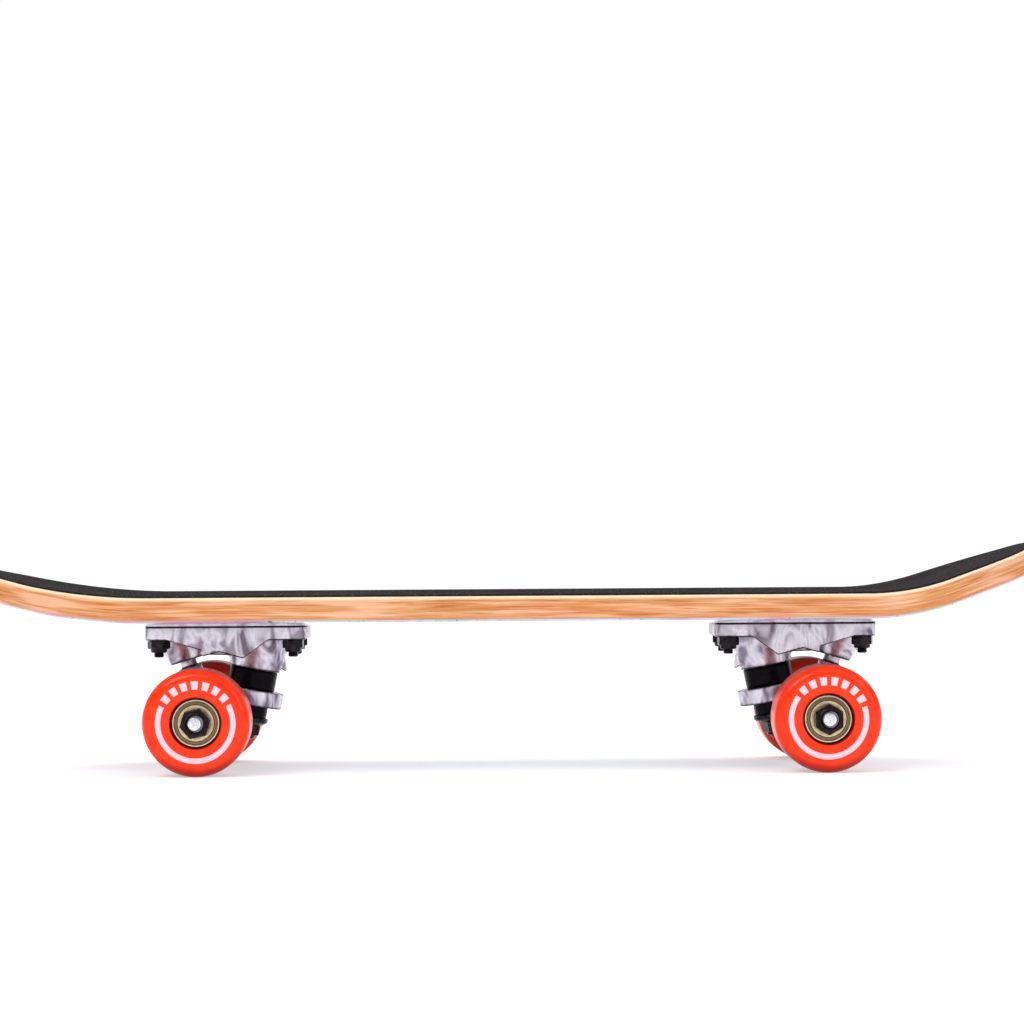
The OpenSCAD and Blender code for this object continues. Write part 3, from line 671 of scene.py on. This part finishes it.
FLIP = turned_about("X", math.pi)


# ---------------------------------------------------------------- deck and grip

def bend_length(end):
    return PATHS[end][1] * PATHS[end][2]


def on_path(s, y, h):
    """Place of a point s along the deck's path, y across it and h above the wood's bottom."""
    end = 1 if s >= 0 else -1
    flat, radius, final = PATHS[end]
    along = abs(s)
    angle = min(max(along - flat, 0), bend_length(end)) / radius
    past = max(along - flat - bend_length(end), 0)
    x = min(along, flat) + radius * math.sin(angle) + past * math.cos(final)
    z = radius * (1 - math.cos(angle)) + past * math.sin(final)
    h = h + concave(y)
    return end * (x - h * math.sin(angle)), y, z + h * math.cos(angle) + PLATE_TOP


def off_path(x, y, z):
    """The reverse of on_path: (s, y, h) of a place."""
    end = 1 if x >= 0 else -1
    flat, radius, final = PATHS[end]
    x, z = abs(x), z - PLATE_TOP
    if x <= flat:
        return end * x, y, z - concave(y)
    angle = math.atan2(x - flat, radius - z)
    if angle <= final:
        height = radius - math.hypot(x - flat, radius - z) - concave(y)
        return end * (flat + radius * angle), y, height
    dx = x - flat - radius * math.sin(final)
    dz = z - radius * (1 - math.cos(final))
    s = flat + bend_length(end) + dx * math.cos(final) + dz * math.sin(final)
    return end * s, y, dz * math.cos(final) - dx * math.sin(final) - concave(y)


def concave(y):
    t = max(abs(y) - FLAT_HALF_W, 0) / (DECK_W / 2 - FLAT_HALF_W)
    return CONCAVE_H * t * t


def half_outline():
    """Right half of the deck's outline as (s, y, normal s, normal y), from rear to front."""
    straight_steps, tip_steps = 64, 40
    reach = DECK_L / 2 - TIP_L
    tip = [(reach + TIP_REACH * math.sin(a), DECK_W / 2 * max(math.cos(a), 0) ** TIP_POWER)
           for a in (math.pi / 2 * k / tip_steps for k in range(1, tip_steps + 1))]
    straight = [(reach * (2 * k / straight_steps - 1), DECK_W / 2)
                for k in range(straight_steps + 1)]
    points = [(-s, y) for s, y in reversed(tip)] + straight + tip
    points[0] = (points[0][0], 0)
    points[-1] = (points[-1][0], 0)
    outline = []
    for i, (s, y) in enumerate(points):
        if i in (0, len(points) - 1):
            outline.append((s, 0, 1 if s > 0 else -1, 0))
            continue
        a, b = points[i - 1], points[i + 1]
        direction = Vector((b[0] - a[0], b[1] - a[1])).normalized()
        outline.append((s, y, -direction.y, direction.x))
    return outline


def slab(rings):
    """Closed sheet over the deck's outline. rings are (inset, height) from the middle of the
    bottom, round the edge, to the top. Returns points, faces and the row of each face."""
    across = 36
    half = half_outline()
    count = len(half)
    points, faces, kinds = [], [], []

    def ring(inset, height):
        start = len(points)
        for side in (1, -1):
            for s, y, ns, ny in half if side > 0 else half[-2:0:-1]:
                points.append(on_path(s - ns * inset, side * max(y - ny * inset, 0), height))
        return start

    starts = [ring(*r) for r in rings]
    size = 2 * count - 2
    for row in range(len(starts) - 1):
        a, b = starts[row], starts[row + 1]
        for k in range(size):
            m = (k + 1) % size
            faces.append((a + k, a + m, b + m, b + k))
            kinds.append(row)
    # The inside of the first and last ring, as rows of points across the deck
    for which, kind in ((0, -1), (len(rings) - 1, len(rings))):
        inset, height = rings[which]
        grid = []
        for i, (s, y, ns, ny) in enumerate(half):
            edge = [starts[which] + i, starts[which] + (size - i) % size]
            if i in (0, count - 1):
                grid.append([edge[0]] * (across + 1))
                continue
            width = max(y - ny * inset, 0)
            row = [edge[0]]
            for k in range(1, across):
                row.append(len(points))
                points.append(on_path(s - ns * inset, width * (1 - 2 * k / across), height))
            grid.append(row + [edge[1]])
        for upper, lower in zip(grid, grid[1:]):
            for k in range(across):
                face = [upper[k], upper[k + 1], lower[k + 1], lower[k]]
                face = list(dict.fromkeys(face))
                if len(face) > 2:
                    faces.append(face)
                    kinds.append(kind)
    return points, faces, kinds


def arc_rings(inset, height, radius, first, last, steps):
    """(inset, height) round a quarter edge whose middle is at (inset, height)."""
    angles = [math.radians(first + (last - first) * k / steps) for k in range(steps + 1)]
    return [(inset - radius * math.cos(a), height + radius * math.sin(a)) for a in angles]


def drilled(piece, holes):
    """Cuts holes, a list of (x, y, outline turned about Z), through a deck piece."""
    cutter_data = bpy.data.meshes.new("cutter")
    points, faces = [], []
    for x, y, outline in holes:
        own_points, own_faces = turned(outline, 40, closed=False)
        start = len(points)
        points += [((px + x) * MM, (py + y) * MM, pz * MM) for px, py, pz in own_points]
        faces += [[start + k for k in face] for face in own_faces]
    cutter_data.from_pydata(points, [], faces)
    clean(cutter_data)
    cutter = placed("cutter", cutter_data)
    cut = piece.modifiers.new("holes", "BOOLEAN")
    cut.operation = "DIFFERENCE"
    cut.solver = "EXACT"
    cut.object = cutter
    apply_modifiers(piece)
    bpy.data.objects.remove(cutter)


def apply_modifiers(piece):
    bpy.context.view_layer.update()
    shown = piece.evaluated_get(bpy.context.evaluated_depsgraph_get())
    piece.data = bpy.data.meshes.new_from_object(shown)
    piece.modifiers.clear()


def bolt_places():
    return [(end * (WHEELBASE / 2 - PLATE_SHIFT) + i * BOLT_X / 2, j * BOLT_Y / 2)
            for end in ENDS.values() for i in (-1, 1) for j in (-1, 1)]


def deck_piece(name, rings, kind_of_face, paints, holes, node):
    points, faces, kinds = slab(rings)
    data = bpy.data.meshes.new(name)
    data.from_pydata([Vector(p) * MM for p in points], [], faces)
    for paint in paints:
        data.materials.append(PAINTS[paint])
    data.polygons.foreach_set("material_index", [kind_of_face(k) for k in kinds])
    clean(data, merge=False)
    piece = placed(name, data)
    drilled(piece, holes)
    lay = piece.data.attributes.new("lay", "FLOAT_VECTOR", "POINT")
    rest = [off_path(*(v.co / MM)) for v in piece.data.vertices]
    lay.data.foreach_set("vector", np.array(rest, np.float32).ravel())
    return finish_piece(piece, None, "board", [node], sharp=38)


EDGE_R = 2.4
TOP_R = 0.5
TOP_INSET = 0.02
# The first and last ring lie this far inside the outline
FLAT_INSET = 9


def deck():
    rings = ([(FLAT_INSET, 0)] + arc_rings(EDGE_R, EDGE_R, EDGE_R, -90, 0, 8)
             + [(0, DECK_T * k / 8) for k in range(3, 8)]
             + arc_rings(TOP_R + TOP_INSET, DECK_T - TOP_R, TOP_R, 0, 90, 4)
             + [(FLAT_INSET, DECK_T)])
    top = PLATE_TOP + DECK_T + GRIP_T
    sink = BOLT_HEAD_R - BOLT_R
    bore = BOLT_R + HOLE_GAP
    holes = [(x, y, [(0, PLATE_TOP - 1), (bore, PLATE_TOP - 1), (bore, top - sink),
                     (BOLT_HEAD_R + FIT_GAP, top), (0, top)]) for x, y in bolt_places()]

    def kind(row):
        if row <= 4:
            return 1
        return 2 if row >= len(rings) - 2 else 0

    deck_piece("deck_laminate", rings, kind, ["edge", "print", "top"], holes, "deck")


def grip():
    low_r, top_r = 0.12, 0.3
    rings = ([(FLAT_INSET, DECK_T)]
             + arc_rings(GRIP_INSET + low_r, DECK_T + low_r, low_r, -90, 0, 2)
             + arc_rings(GRIP_INSET + top_r, DECK_T + GRIP_T - top_r, top_r, 0, 90, 3)
             + [(FLAT_INSET, DECK_T + GRIP_T)])
    top = PLATE_TOP + DECK_T
    bore = BOLT_HEAD_R + HOLE_GAP
    holes = [(x, y, [(0, top - 1), (bore, top - 1), (bore, top + 3), (0, top + 3)])
             for x, y in bolt_places()]
    deck_piece("grip_sheet", rings, lambda row: 0, ["grip"], holes, "grip_tape")


# ---------------------------------------------------------------- castings

def casting(node, voxel):
    """A copy of a CAD casting with every edge softened, as a die-cast part has."""
    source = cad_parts[node]
    piece = placed("soft", source.data.copy())
    remesh = piece.modifiers.new("remesh", "REMESH")
    remesh.mode = "VOXEL"
    remesh.voxel_size = voxel * MM
    smooth = piece.modifiers.new("smooth", "SMOOTH")
    smooth.factor = 0.5
    smooth.iterations = 5
    fewer = piece.modifiers.new("fewer", "DECIMATE")
    fewer.ratio = 0.4
    apply_modifiers(piece)
    data = piece.data
    bpy.data.objects.remove(piece)
    mark_folds(data)
    return data


def mark_folds(data):
    """Stores as "fold" how far each point lies in a crease (positive) or on a ridge."""
    blur = 8
    count = len(data.vertices)
    points = np.empty(3 * count)
    data.vertices.foreach_get("co", points)
    points = points.reshape(-1, 3)
    normals = np.empty(3 * count)
    data.vertices.foreach_get("normal", normals)
    normals = normals.reshape(-1, 3)
    ends = np.empty(2 * len(data.edges), int)
    data.edges.foreach_get("vertices", ends)
    a, b = ends.reshape(-1, 2).T
    step = points[b] - points[a]
    step /= np.linalg.norm(step, axis=1)[:, None]
    here, there = np.concatenate((a, b)), np.concatenate((b, a))
    rise = (np.concatenate((step, -step)) * normals[here]).sum(1)
    neighbours = np.bincount(here, minlength=count).clip(1)
    fold = np.bincount(here, rise, count) / neighbours
    for _ in range(blur):
        fold = (fold + np.bincount(here, fold[there], count) / neighbours) / 2
    data.attributes.new("fold", "FLOAT", "POINT").data.foreach_set("value", fold)


def castings():
    """The two trucks' castings share one mesh each, the rear one turned round."""
    turn = turned_about("Z", math.pi)
    for kind, voxel in (("baseplate", 0.5), ("hanger", 0.45)):
        data = casting("front_" + kind, voxel)
        for end in ENDS:
            own = data.copy()
            if end == "rear":
                own.transform(turn)
            piece = placed(f"{end}_{kind}_casting", own)
            body = "board" if kind == "baseplate" else f"{end}_hanger"
            finish_piece(piece, "cast", body, [f"{end}_{kind}"], sharp=180)


# ---------------------------------------------------------------- nuts, bolts and turned steel

def hexagon(af):
    """Limits a turned outline to a hexagon of that width across its flats."""
    def shape(angle, r, z):
        sector = angle % (math.pi / 3) - math.pi / 6
        return min(r, af / 2 / math.cos(sector)), z
    return shape


def lock_nut(af, height, collar, bore):
    """A hexagon nut with chamfered corners and a nylon collar, standing on Z = 0."""
    corner = af / 2 / math.cos(math.pi / 6)
    cut = corner - af / 2
    outline = [(bore, 0.35), (bore + 0.35, 0)]
    outline += [(af / 2 - 0.2 + (cut + 0.3) * k / 6, 0.5 * cut * k / 6) for k in range(7)]
    outline += [(corner + 0.1, height / 2)]
    outline += [(af / 2 - 0.2 + (cut + 0.3) * k / 6, height - 0.55 * cut * k / 6)
                for k in range(6, -1, -1)]
    rim = af / 2 - COLLAR_INSET
    outline += rounded([(rim + 0.05, height - 0.02, 0), (rim, height + collar, 0.7),
                        (bore + 0.15, height + collar - 0.1, 0.25), (bore + 0.15, height, 0)],
                       closed=False)
    return outline


def thread(pitch, depth, start, end):
    """Cuts a helical thread into a turned shaft between two heights."""
    def shape(angle, r, z):
        if r < 1.5 or not start <= z <= end:
            return r, z
        turn = (z / pitch - angle / (2 * math.pi)) % 1
        fade = min(1, (z - start) / pitch, (end - z) / (pitch * 0.6))
        return r - depth * abs(2 * turn - 1) * fade, z
    return shape


def thread_rows(radius, start, end, step):
    count = max(int((end - start) / step), 2)
    return [(radius, start + (end - start) * k / count) for k in range(count + 1)]


def phillips(angle, r, depth, reach):
    """Depth of a cross recess at a place on a screw's head."""
    if r >= reach:
        return 0
    across = min(abs(math.sin(angle)), abs(math.cos(angle))) * r
    slot = min(max((0.75 - across) / 0.3, 0), 1)
    wall = min(max((reach - r) / 0.7, 0), 1)
    return depth * slot * wall


def mounting_bolt():
    """A countersunk bolt whose head's top is at Z = 0."""
    sink = BOLT_HEAD_R - BOLT_R
    length = GRIP_T + DECK_T + PLATE_T + BOLT_NUT_H + BOLT_COLLAR_H + BOLT_PROUD
    outline = [(0, -length), (BOLT_R - 0.6, -length)]
    outline += thread_rows(BOLT_R, -length + 0.5, -length + 12, 0.16)
    outline += [(BOLT_R, -sink), (BOLT_HEAD_R, -0.25), (BOLT_HEAD_R - 0.1, -0.06)]
    outline += [(BOLT_HEAD_R * (1 - k / 14), 0) for k in range(1, 14)] + [(0, 0)]
    helix = thread(pitch=0.8, depth=0.32, start=-length + 0.4, end=-length + 11.5)

    def shape(angle, r, z):
        r, z = helix(angle, r, z)
        return r, (z - phillips(angle, r, depth=1.5, reach=2.7) if z > -0.03 else z)

    return turned(outline, 64, closed=False, shape=shape)


def mounting_hardware():
    bolt = mounting_bolt()
    nut = turned(lock_nut(BOLT_NUT_AF, BOLT_NUT_H, BOLT_COLLAR_H, BOLT_R),
                 shape=hexagon(BOLT_NUT_AF))
    angles = (12, 47, 81, 33)
    for end_name, end in ENDS.items():
        frame_at = truck_frame(end)
        spots = [shifted(-PLATE_SHIFT + i * BOLT_X / 2, j * BOLT_Y / 2, PLATE_TOP - AXLE_Z)
                 for i in (-1, 1) for j in (-1, 1)]
        heads = [(bolt, spot @ shifted(z=DECK_T + GRIP_T) @ turned_about("Z", math.radians(a)))
                 for spot, a in zip(spots, angles)]
        make(f"{end_name}_mounting_bolt_set", heads, "black", "board", frame_at,
             [f"{end_name}_mounting_bolts"])
        nuts = [(nut, spot @ shifted(z=-PLATE_T) @ FLIP @ turned_about("Z", math.radians(a * 2)))
                for spot, a in zip(spots, angles)]
        make(f"{end_name}_mounting_nut_set", nuts, "black", "board", frame_at,
             [f"{end_name}_mounting_nuts"], sharp=25)


def kingpin_hardware():
    tip = CUP_END + KINGPIN_NUT_H + KINGPIN_COLLAR_H + KINGPIN_PROUD
    head, head_r = KINGPIN_HEAD_TOP, KINGPIN_HEAD_R
    under = head - KINGPIN_HEAD_H
    shaft = [(0, -tip), (KINGPIN_R - 0.9, -tip)]
    shaft += thread_rows(KINGPIN_R, -tip + 0.7, -tip + 9, 0.16)
    shaft += [(KINGPIN_R, under), (head_r - 0.4, under), (head_r, head - 4.1),
              (head_r, head - 0.5), (head_r - 0.5, head), (0, head)]
    helix = thread(pitch=1.25, depth=0.45, start=-tip + 0.5, end=-tip + 8.5)
    pin = turned(shaft, 72, closed=False, shape=helix)
    cup = turned(rounded([
        (KINGPIN_R + FIT_GAP, 0, 0), (LOWER_R - 1.2, 0, 0.6), (CUP_WASHER_R, 1.5, 0.8),
        (CUP_WASHER_R, CUP_BASE + CUP_LIP, 0.35), (LOWER_R + FIT_GAP, CUP_BASE + CUP_LIP, 0.3),
        (LOWER_R - 0.25, CUP_BASE, 0.5), (KINGPIN_R + FIT_GAP, CUP_BASE, 0)]))
    nut = turned(lock_nut(KINGPIN_NUT_AF, KINGPIN_NUT_H, KINGPIN_COLLAR_H, KINGPIN_R),
                 shape=hexagon(KINGPIN_NUT_AF))
    still = Matrix()
    for name, end in ENDS.items():
        make(f"{name}_kingpin_bolt", [(pin, still)], "black", "board",
             kingpin_frame(end), [f"{name}_kingpin"])
        make(f"{name}_cup_washer_ring", [(cup, still)], "black", "board",
             kingpin_frame(end, CUP_END), [f"{name}_cup_washer"])
        make(f"{name}_kingpin_lock_nut", [(nut, FLIP @ turned_about("Z", math.radians(12)))],
             "black", "board", kingpin_frame(end, CUP_END),
             [f"{name}_kingpin_nut"], sharp=25)


def bushing_outline(radius, low_radius, height, bulge, bore):
    """A barrel bushing standing on Z = 0, with rounded rims. bulge swells its middle."""
    rim, steps = 0.55, 12
    side = []
    for k in range(steps + 1):
        t = k / steps
        r = low_radius + (radius - low_radius) * t + bulge * math.sin(math.pi * t)
        z = height * t
        edge = max(rim - min(z, height - z), 0) / rim
        side.append((r - rim * (1 - math.sqrt(max(1 - edge * edge, 0))), z))
    inner = [(bore, height * (1 - k / steps)) for k in range(steps + 1)]
    return side + inner


def bushings():
    """Both bushings of a truck, between the board and the hanger's ring."""
    still = Matrix()
    bore = KINGPIN_R + FIT_GAP
    upper_r = UPPER_R - 0.05
    upper = turned(bushing_outline(upper_r, upper_r, UPPER_H, 0, bore))
    lower = turned(bushing_outline(LOWER_R - 0.3, LOWER_R - 0.6, LOWER_H, 0.3, bore))
    for name, end in ENDS.items():
        piece = make(f"{name}_upper_bushing_urethane", [(upper, still)], "bushing",
                     "board", kingpin_frame(end, UPPER_H),
                     [f"{name}_upper_bushing"], ride=False)
        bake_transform(piece)
        piece = make(f"{name}_lower_bushing_urethane", [(lower, still)], "bushing",
                     "board", kingpin_frame(end, CUP_FLOOR),
                     [f"{name}_lower_bushing"], ride=False)
        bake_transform(piece)


def pivot_cups():
    outer, top, low = PIVOT_R + PIVOT_CUP_WALL, PIVOT_R + 2, -PIVOT_RIM_DROP
    ball = [(PIVOT_R * math.sin(a) + AXLE_GAP, PIVOT_R * math.cos(a) + AXLE_GAP)
            for a in (math.pi / 2 * k / 12 for k in range(12, 0, -1))]
    outline = [(PIVOT_R + 0.9, low), (outer - 0.15, low), (outer, low + 0.2), (outer, top - 0.4),
               (outer - 0.4, top), (0, top), (0, PIVOT_R + AXLE_GAP)]
    outline += reversed(ball)
    cup = turned(outline, 72)
    for name, end in ENDS.items():
        make(f"{name}_pivot_cup_rubber", [(cup, Matrix())], "rubber", "board",
             stem_frame(end), [f"{name}_pivot_cup"])


def axles():
    pitch, depth = 1.0, 0.4
    start = NUT_START - 0.6
    tail = [(AXLE_R, start - 4)]
    tail += thread_rows(AXLE_R, start, AXLE_HALF - 1.3, 0.11)
    tail += [(AXLE_R - 0.25, AXLE_HALF - 1.1), (3.05, AXLE_HALF - 0.3), (2.9, AXLE_HALF - 0.08),
             (2.7, AXLE_HALF), (1.45, AXLE_HALF), (1.3, AXLE_HALF - 0.12), (0, AXLE_HALF - 1.1)]
    outline = [(r, -z) for r, z in reversed(tail)] + tail

    def shape(angle, r, z):
        if r < AXLE_R - 0.6 or abs(z) < start:
            return r, z
        turn = (z / pitch - angle / (2 * math.pi)) % 1
        return r - depth * abs(2 * turn - 1) * min(1, abs(z) - start), z

    rod = turned(outline, 96, closed=False, shape=shape)
    for name, end in ENDS.items():
        make(f"{name}_axle_rod", [(rod, Matrix())], "axle", f"{name}_hanger",
             side_frame(end, 1), [f"{name}_axle"])


# ---------------------------------------------------------------- wheels and bearings

LIP_R = 5.0
FACE_IN = 12.6
FACE_OUT = 20.2
FACE_DISH = 0.35


def face_drop(r):
    """How far a wheel's side face lies below its highest ring, at a radius."""
    t = min(max((FACE_OUT - r) / (FACE_OUT - FACE_IN), 0), 1)
    return FACE_DISH * t * t * (3 - 2 * t)


def wheel_outline():
    """Closed outline of the wheel's section: the outer half, then its mirror image."""
    half, lip = WHEEL_HALF, LIP_R
    rib = BEARING_R - 1.8
    seat = HUB_RIB / 2
    flare = half - 2
    side = [(rib, 0), (rib, seat), (BEARING_R, seat)]
    side += rounded([(BEARING_R, seat + 0.2, 0), (BEARING_R, seat + BEARING_W + 0.6, 0.2),
                     (BEARING_R + 0.5, flare, 0.3), (BEARING_R + 1.15, half - 0.1, 0.25),
                     (FACE_IN + 0.2, half - face_drop(FACE_IN) - 0.02, 0.4),
                     (FACE_IN + 0.6, half - face_drop(FACE_IN + 0.6), 0)], closed=False)
    side += [(r, half - face_drop(r)) for r in (14, 15, 16, 17, 18, 19)]
    side += [(WHEEL_R - lip + lip * math.sin(a), half - lip + lip * math.cos(a))
             for a in (math.pi / 2 * k / 14 for k in range(15))]
    side += [(WHEEL_R, 5), (WHEEL_R, 2.5)]
    return side + [(WHEEL_R, 0)] + [(r, -z) for r, z in reversed(side[1:])]


def printed_bar(first, last, inner, outer):
    """A thin bar of ink on the wheel's outer face, between two angles and two radii."""
    steps = max(int(abs(last - first) * 0.5), 3)
    proud, sunk = 0.05, 0.15
    radii = [inner + (outer - inner) * k / 4 for k in range(5)]
    points, faces = [], []
    for i in range(steps + 1):
        angle = math.radians(first + (last - first) * i / steps)
        for level in (proud, -sunk):
            for r in radii:
                points.append((r * math.cos(angle), r * math.sin(angle),
                               WHEEL_HALF - face_drop(r) + level))
    row = 2 * len(radii)
    loop = list(range(len(radii))) + list(range(row - 1, len(radii) - 1, -1))
    for i in range(steps):
        for k in range(row):
            a, b = loop[k], loop[(k + 1) % row]
            faces.append((i * row + a, i * row + b, (i + 1) * row + b, (i + 1) * row + a))
    for base in (0, steps * row):
        for k in range(len(radii) - 1):
            under = base + len(radii) + k
            faces.append((base + k, base + k + 1, under + 1, under))
    return points, faces


RING_IN = 16.1
RING_OUT = 18.6
RING_GAP = 116
RING_MARGIN = 4
DASHES = 7
DASH_SHARE = 0.3


def wheel_print():
    """The printed ring with a gap that holds a row of plain dashes. The gap is round +X."""
    first = RING_GAP / 2 + RING_MARGIN
    bars = [printed_bar(first, 360 - first, RING_IN, RING_OUT)]
    pitch = RING_GAP / DASHES
    for k in range(DASHES):
        centre = (k - (DASHES - 1) / 2) * pitch
        half = pitch * DASH_SHARE
        bars.append(printed_bar(centre - half, centre + half, RING_IN - 0.4, RING_OUT + 0.9))
    return [(bar, Matrix()) for bar in bars]


def race(inner, outer, grooved):
    """Section of a bearing ring, its ball groove on the side of `grooved`."""
    half = BEARING_W / 2
    reach = BALL_R + BALL_GAP
    depth = abs(grooved - PITCH_R)
    open_half = math.sqrt(reach * reach - depth * depth)
    span = math.atan2(open_half, depth)
    toward = 1 if grooved > PITCH_R else -1
    groove = [(PITCH_R + toward * reach * math.cos(a), reach * math.sin(a))
              for a in (-span + 2 * span * k / 10 for k in range(11))]
    if toward > 0:
        seat, step = OUTER_RACE_R + SHIELD_SEAT_DEPTH, half - SHIELD_SEAT_W
        corners = rounded([(seat, -step, 0), (seat, -half, 0.12), (outer, -half, 0.35),
                           (outer, half, 0.35), (seat, half, 0.12), (seat, step, 0)],
                          closed=False)
        return corners + [(OUTER_RACE_R, step)] + groove[::-1] + [(OUTER_RACE_R, -step)]
    corners = rounded([(grooved, half - 1.2, 0), (grooved, half, 0.25), (inner, half, 0.3),
                       (inner, -half, 0.3), (grooved, -half, 0.25), (grooved, -half + 1.2, 0)],
                      closed=False)
    return corners + groove


def shield():
    """A pressed shield: a flat inner ring, a step and an edge crimped into the outer race."""
    half = BEARING_W / 2
    inner, step, seat = INNER_RACE_R + SWING_GAP, OUTER_RACE_R - 0.55, OUTER_RACE_R + 0.72
    back, face = half - 0.45, half - 0.15
    crimp = half - SHIELD_SEAT_W
    return rounded([
        (inner, back, 0.05), (step, back, 0.12), (step + 0.2, crimp, 0.12), (seat, crimp, 0),
        (seat, half - 0.4, 0.1), (step + 0.32, half - 0.4, 0.1), (step + 0.12, face, 0.12),
        (inner, face, 0.12)], steps=3)


# How far each wheel's print and each axle nut is turned, in degrees
PRINT_TURN = {"front_right": -9, "rear_right": 1, "front_left": 64, "rear_left": -118}
NUT_TURN = {"front_right": 30, "rear_right": 12, "front_left": 22, "rear_left": 41}


def upright_turn(end, side, lean):
    """Turns a wheel's +X upwards, then by `lean` as seen from outside."""
    up = side_frame(end, side).to_3x3().inverted() @ Vector((0, 0, 1))
    return turned_about("Z", math.atan2(up.y, up.x) + math.radians(lean))


def wheels():
    body_mesh = turned(wheel_outline(), 160)
    ink = wheel_print()
    outer = turned(race(OUTER_RACE_R, BEARING_R, OUTER_RACE_R), 120)
    inner = turned(race(BORE_R, INNER_RACE_R, INNER_RACE_R), 96)
    cover = turned(shield(), 120)
    washer_r = INNER_RACE_R - 0.1
    washer = turned(rounded([(BORE_R, 0, 0.1), (washer_r, 0, 0.2), (washer_r, WASHER_T, 0.2),
                             (BORE_R, WASHER_T, 0.1)]), 72)
    washers = [(washer, shifted(z=z)) for z in (HANGER_W / 2, NUT_START - WASHER_T)]
    nut = turned(lock_nut(NUT_AF, NUT_H, COLLAR_H, BORE_R), shape=hexagon(NUT_AF))
    bearings = [shifted(z=RACE_START + BEARING_W / 2),
                shifted(z=RACE_START + BEARING_W * 1.5 + HUB_RIB)]
    for (end_name, end), (side_name, side) in itertools.product(ENDS.items(), SIDES.items()):
        name = f"{end_name}_{side_name}"
        wheel, hanger = f"{name}_wheel", f"{end_name}_hanger"
        at, middle_at = side_frame(end, side), side_frame(end, side, WHEEL_Y)
        upright = middle_at @ upright_turn(end, side, PRINT_TURN[name])
        nut_at = shifted(z=NUT_START) @ turned_about("Z", math.radians(NUT_TURN[name]))
        make(f"{name}_wheel_urethane", [(body_mesh, Matrix())], "urethane",
             wheel, middle_at, [wheel])
        make(f"{name}_wheel_print", ink, "ink", wheel, upright)
        make(f"{name}_outer_race_pair", [(outer, b) for b in bearings], "bearing",
             wheel, at, [f"{name}_outer_races"])
        make(f"{name}_shield_set", [(cover, b @ f) for b in bearings for f in (Matrix(), FLIP)],
             "shield", wheel, at, [f"{name}_shields"])
        make(f"{name}_inner_race_pair", [(inner, b) for b in bearings], "bearing",
             hanger, at, [f"{name}_inner_races"])
        make(f"{name}_washer_pair", washers, "steel", hanger, at,
             [f"{name}_speed_washers"])
        make(f"{name}_axle_lock_nut", [(nut, nut_at)], "black", hanger, at,
             [f"{name}_axle_nut"], sharp=25)
        for kind, paint in (("cages", "nylon"), ("balls", "steel")):
            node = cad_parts[f"{name}_{kind}"]
            node.data.materials.clear()
            node.data.materials.append(PAINTS[paint])


# ---------------------------------------------------------------- stage

def floor():
    size = 40
    data = bpy.data.meshes.new("floor")
    data.from_pydata([(x * size, y * size, 0) for x, y in ((-1, -1), (1, -1), (1, 1), (-1, 1))],
                     [], [(0, 1, 2, 3)])
    piece = placed("floor", data)
    paint = Paint("floor")
    tone = paint.noise(paint.place(), 0.004, 3, 0.5)
    paint.set(Base_Color=paint.spread(tone, 0.74, 0.78), Roughness=0.9,
              Specular_IOR_Level=0.0, Emission_Color=(1.0, 1.0, 1.0), Emission_Strength=0.42)
    data.materials.append(paint.material)


# Bands of the surround: (height, from 0 at the horizon to 1 straight up, and its grey)
SKY_BANDS = ((0.17, 1.0), (0.3, 0.3), (0.5, 0.32), (0.62, 0.95), (0.85, 0.9), (1, 0.5))
SKY_STRENGTH = 1.02


def sky():
    """Plain studio surround: white round the horizon, with darker and lighter bands above it."""
    world = bpy.data.worlds.new("studio")
    bpy.context.scene.world = world
    world.use_nodes = True
    nodes, links = world.node_tree.nodes, world.node_tree.links
    place = nodes.new("ShaderNodeTexCoord")
    parts = nodes.new("ShaderNodeSeparateXYZ")
    ramp = nodes.new("ShaderNodeValToRGB")
    links.new(place.outputs["Generated"], parts.inputs[0])
    links.new(parts.outputs[2], ramp.inputs["Fac"])
    stops = ramp.color_ramp.elements
    for where, grey in SKY_BANDS:
        stop = stops.new(where)
        stop.color = (grey, grey, grey, 1)
    stops.remove(stops[0])
    links.new(ramp.outputs["Color"], nodes["Background"].inputs["Color"])
    nodes["Background"].inputs["Strength"].default_value = SKY_STRENGTH


def softbox(name, place, size, power):
    """A rectangular lamp that faces the board."""
    data = bpy.data.lights.new(name, "AREA")
    data.shape = "RECTANGLE"
    data.size, data.size_y = size
    data.energy = power
    lamp = placed(name, data)
    lamp.location = place
    direction = Vector((0, 0, 0.05)) - Vector(place)
    lamp.rotation_euler = direction.to_track_quat("-Z", "Y").to_euler()


def lights():
    softbox("key", (-0.9, -1.3, 1.5), (1.2, 0.8), 14)
    softbox("fill", (1.3, -1.1, 0.8), (0.9, 0.9), 5)
    softbox("top", (0, 0.5, 1.7), (1.8, 0.9), 12)


# The camera: place in metres, then its turn, pitch and roll in degrees and its focal length
CAMERA_AT = (-0.01809, -1.83372, 0.11256)
CAMERA_TURN = -0.602
CAMERA_PITCH = 0.292
CAMERA_ROLL = -0.372
CAMERA_LENS = 134.52


def camera():
    data = bpy.data.cameras.new("camera")
    data.lens = CAMERA_LENS
    data.clip_end = 60
    lens = placed("camera", data)
    turn = turned_about("Z", math.radians(CAMERA_TURN))
    pitch = turned_about("X", math.radians(90 + CAMERA_PITCH))
    roll = turned_about("Z", math.radians(CAMERA_ROLL))
    lens.matrix_world = shifted(*CAMERA_AT) @ turn @ pitch @ roll
    bpy.context.scene.camera = lens


bpy.context.scene.view_settings.view_transform = "Standard"
camera()
sky()
lights()
floor()
deck()
grip()
castings()
mounting_hardware()
kingpin_hardware()
bushings()
pivot_cups()
axles()
wheels()
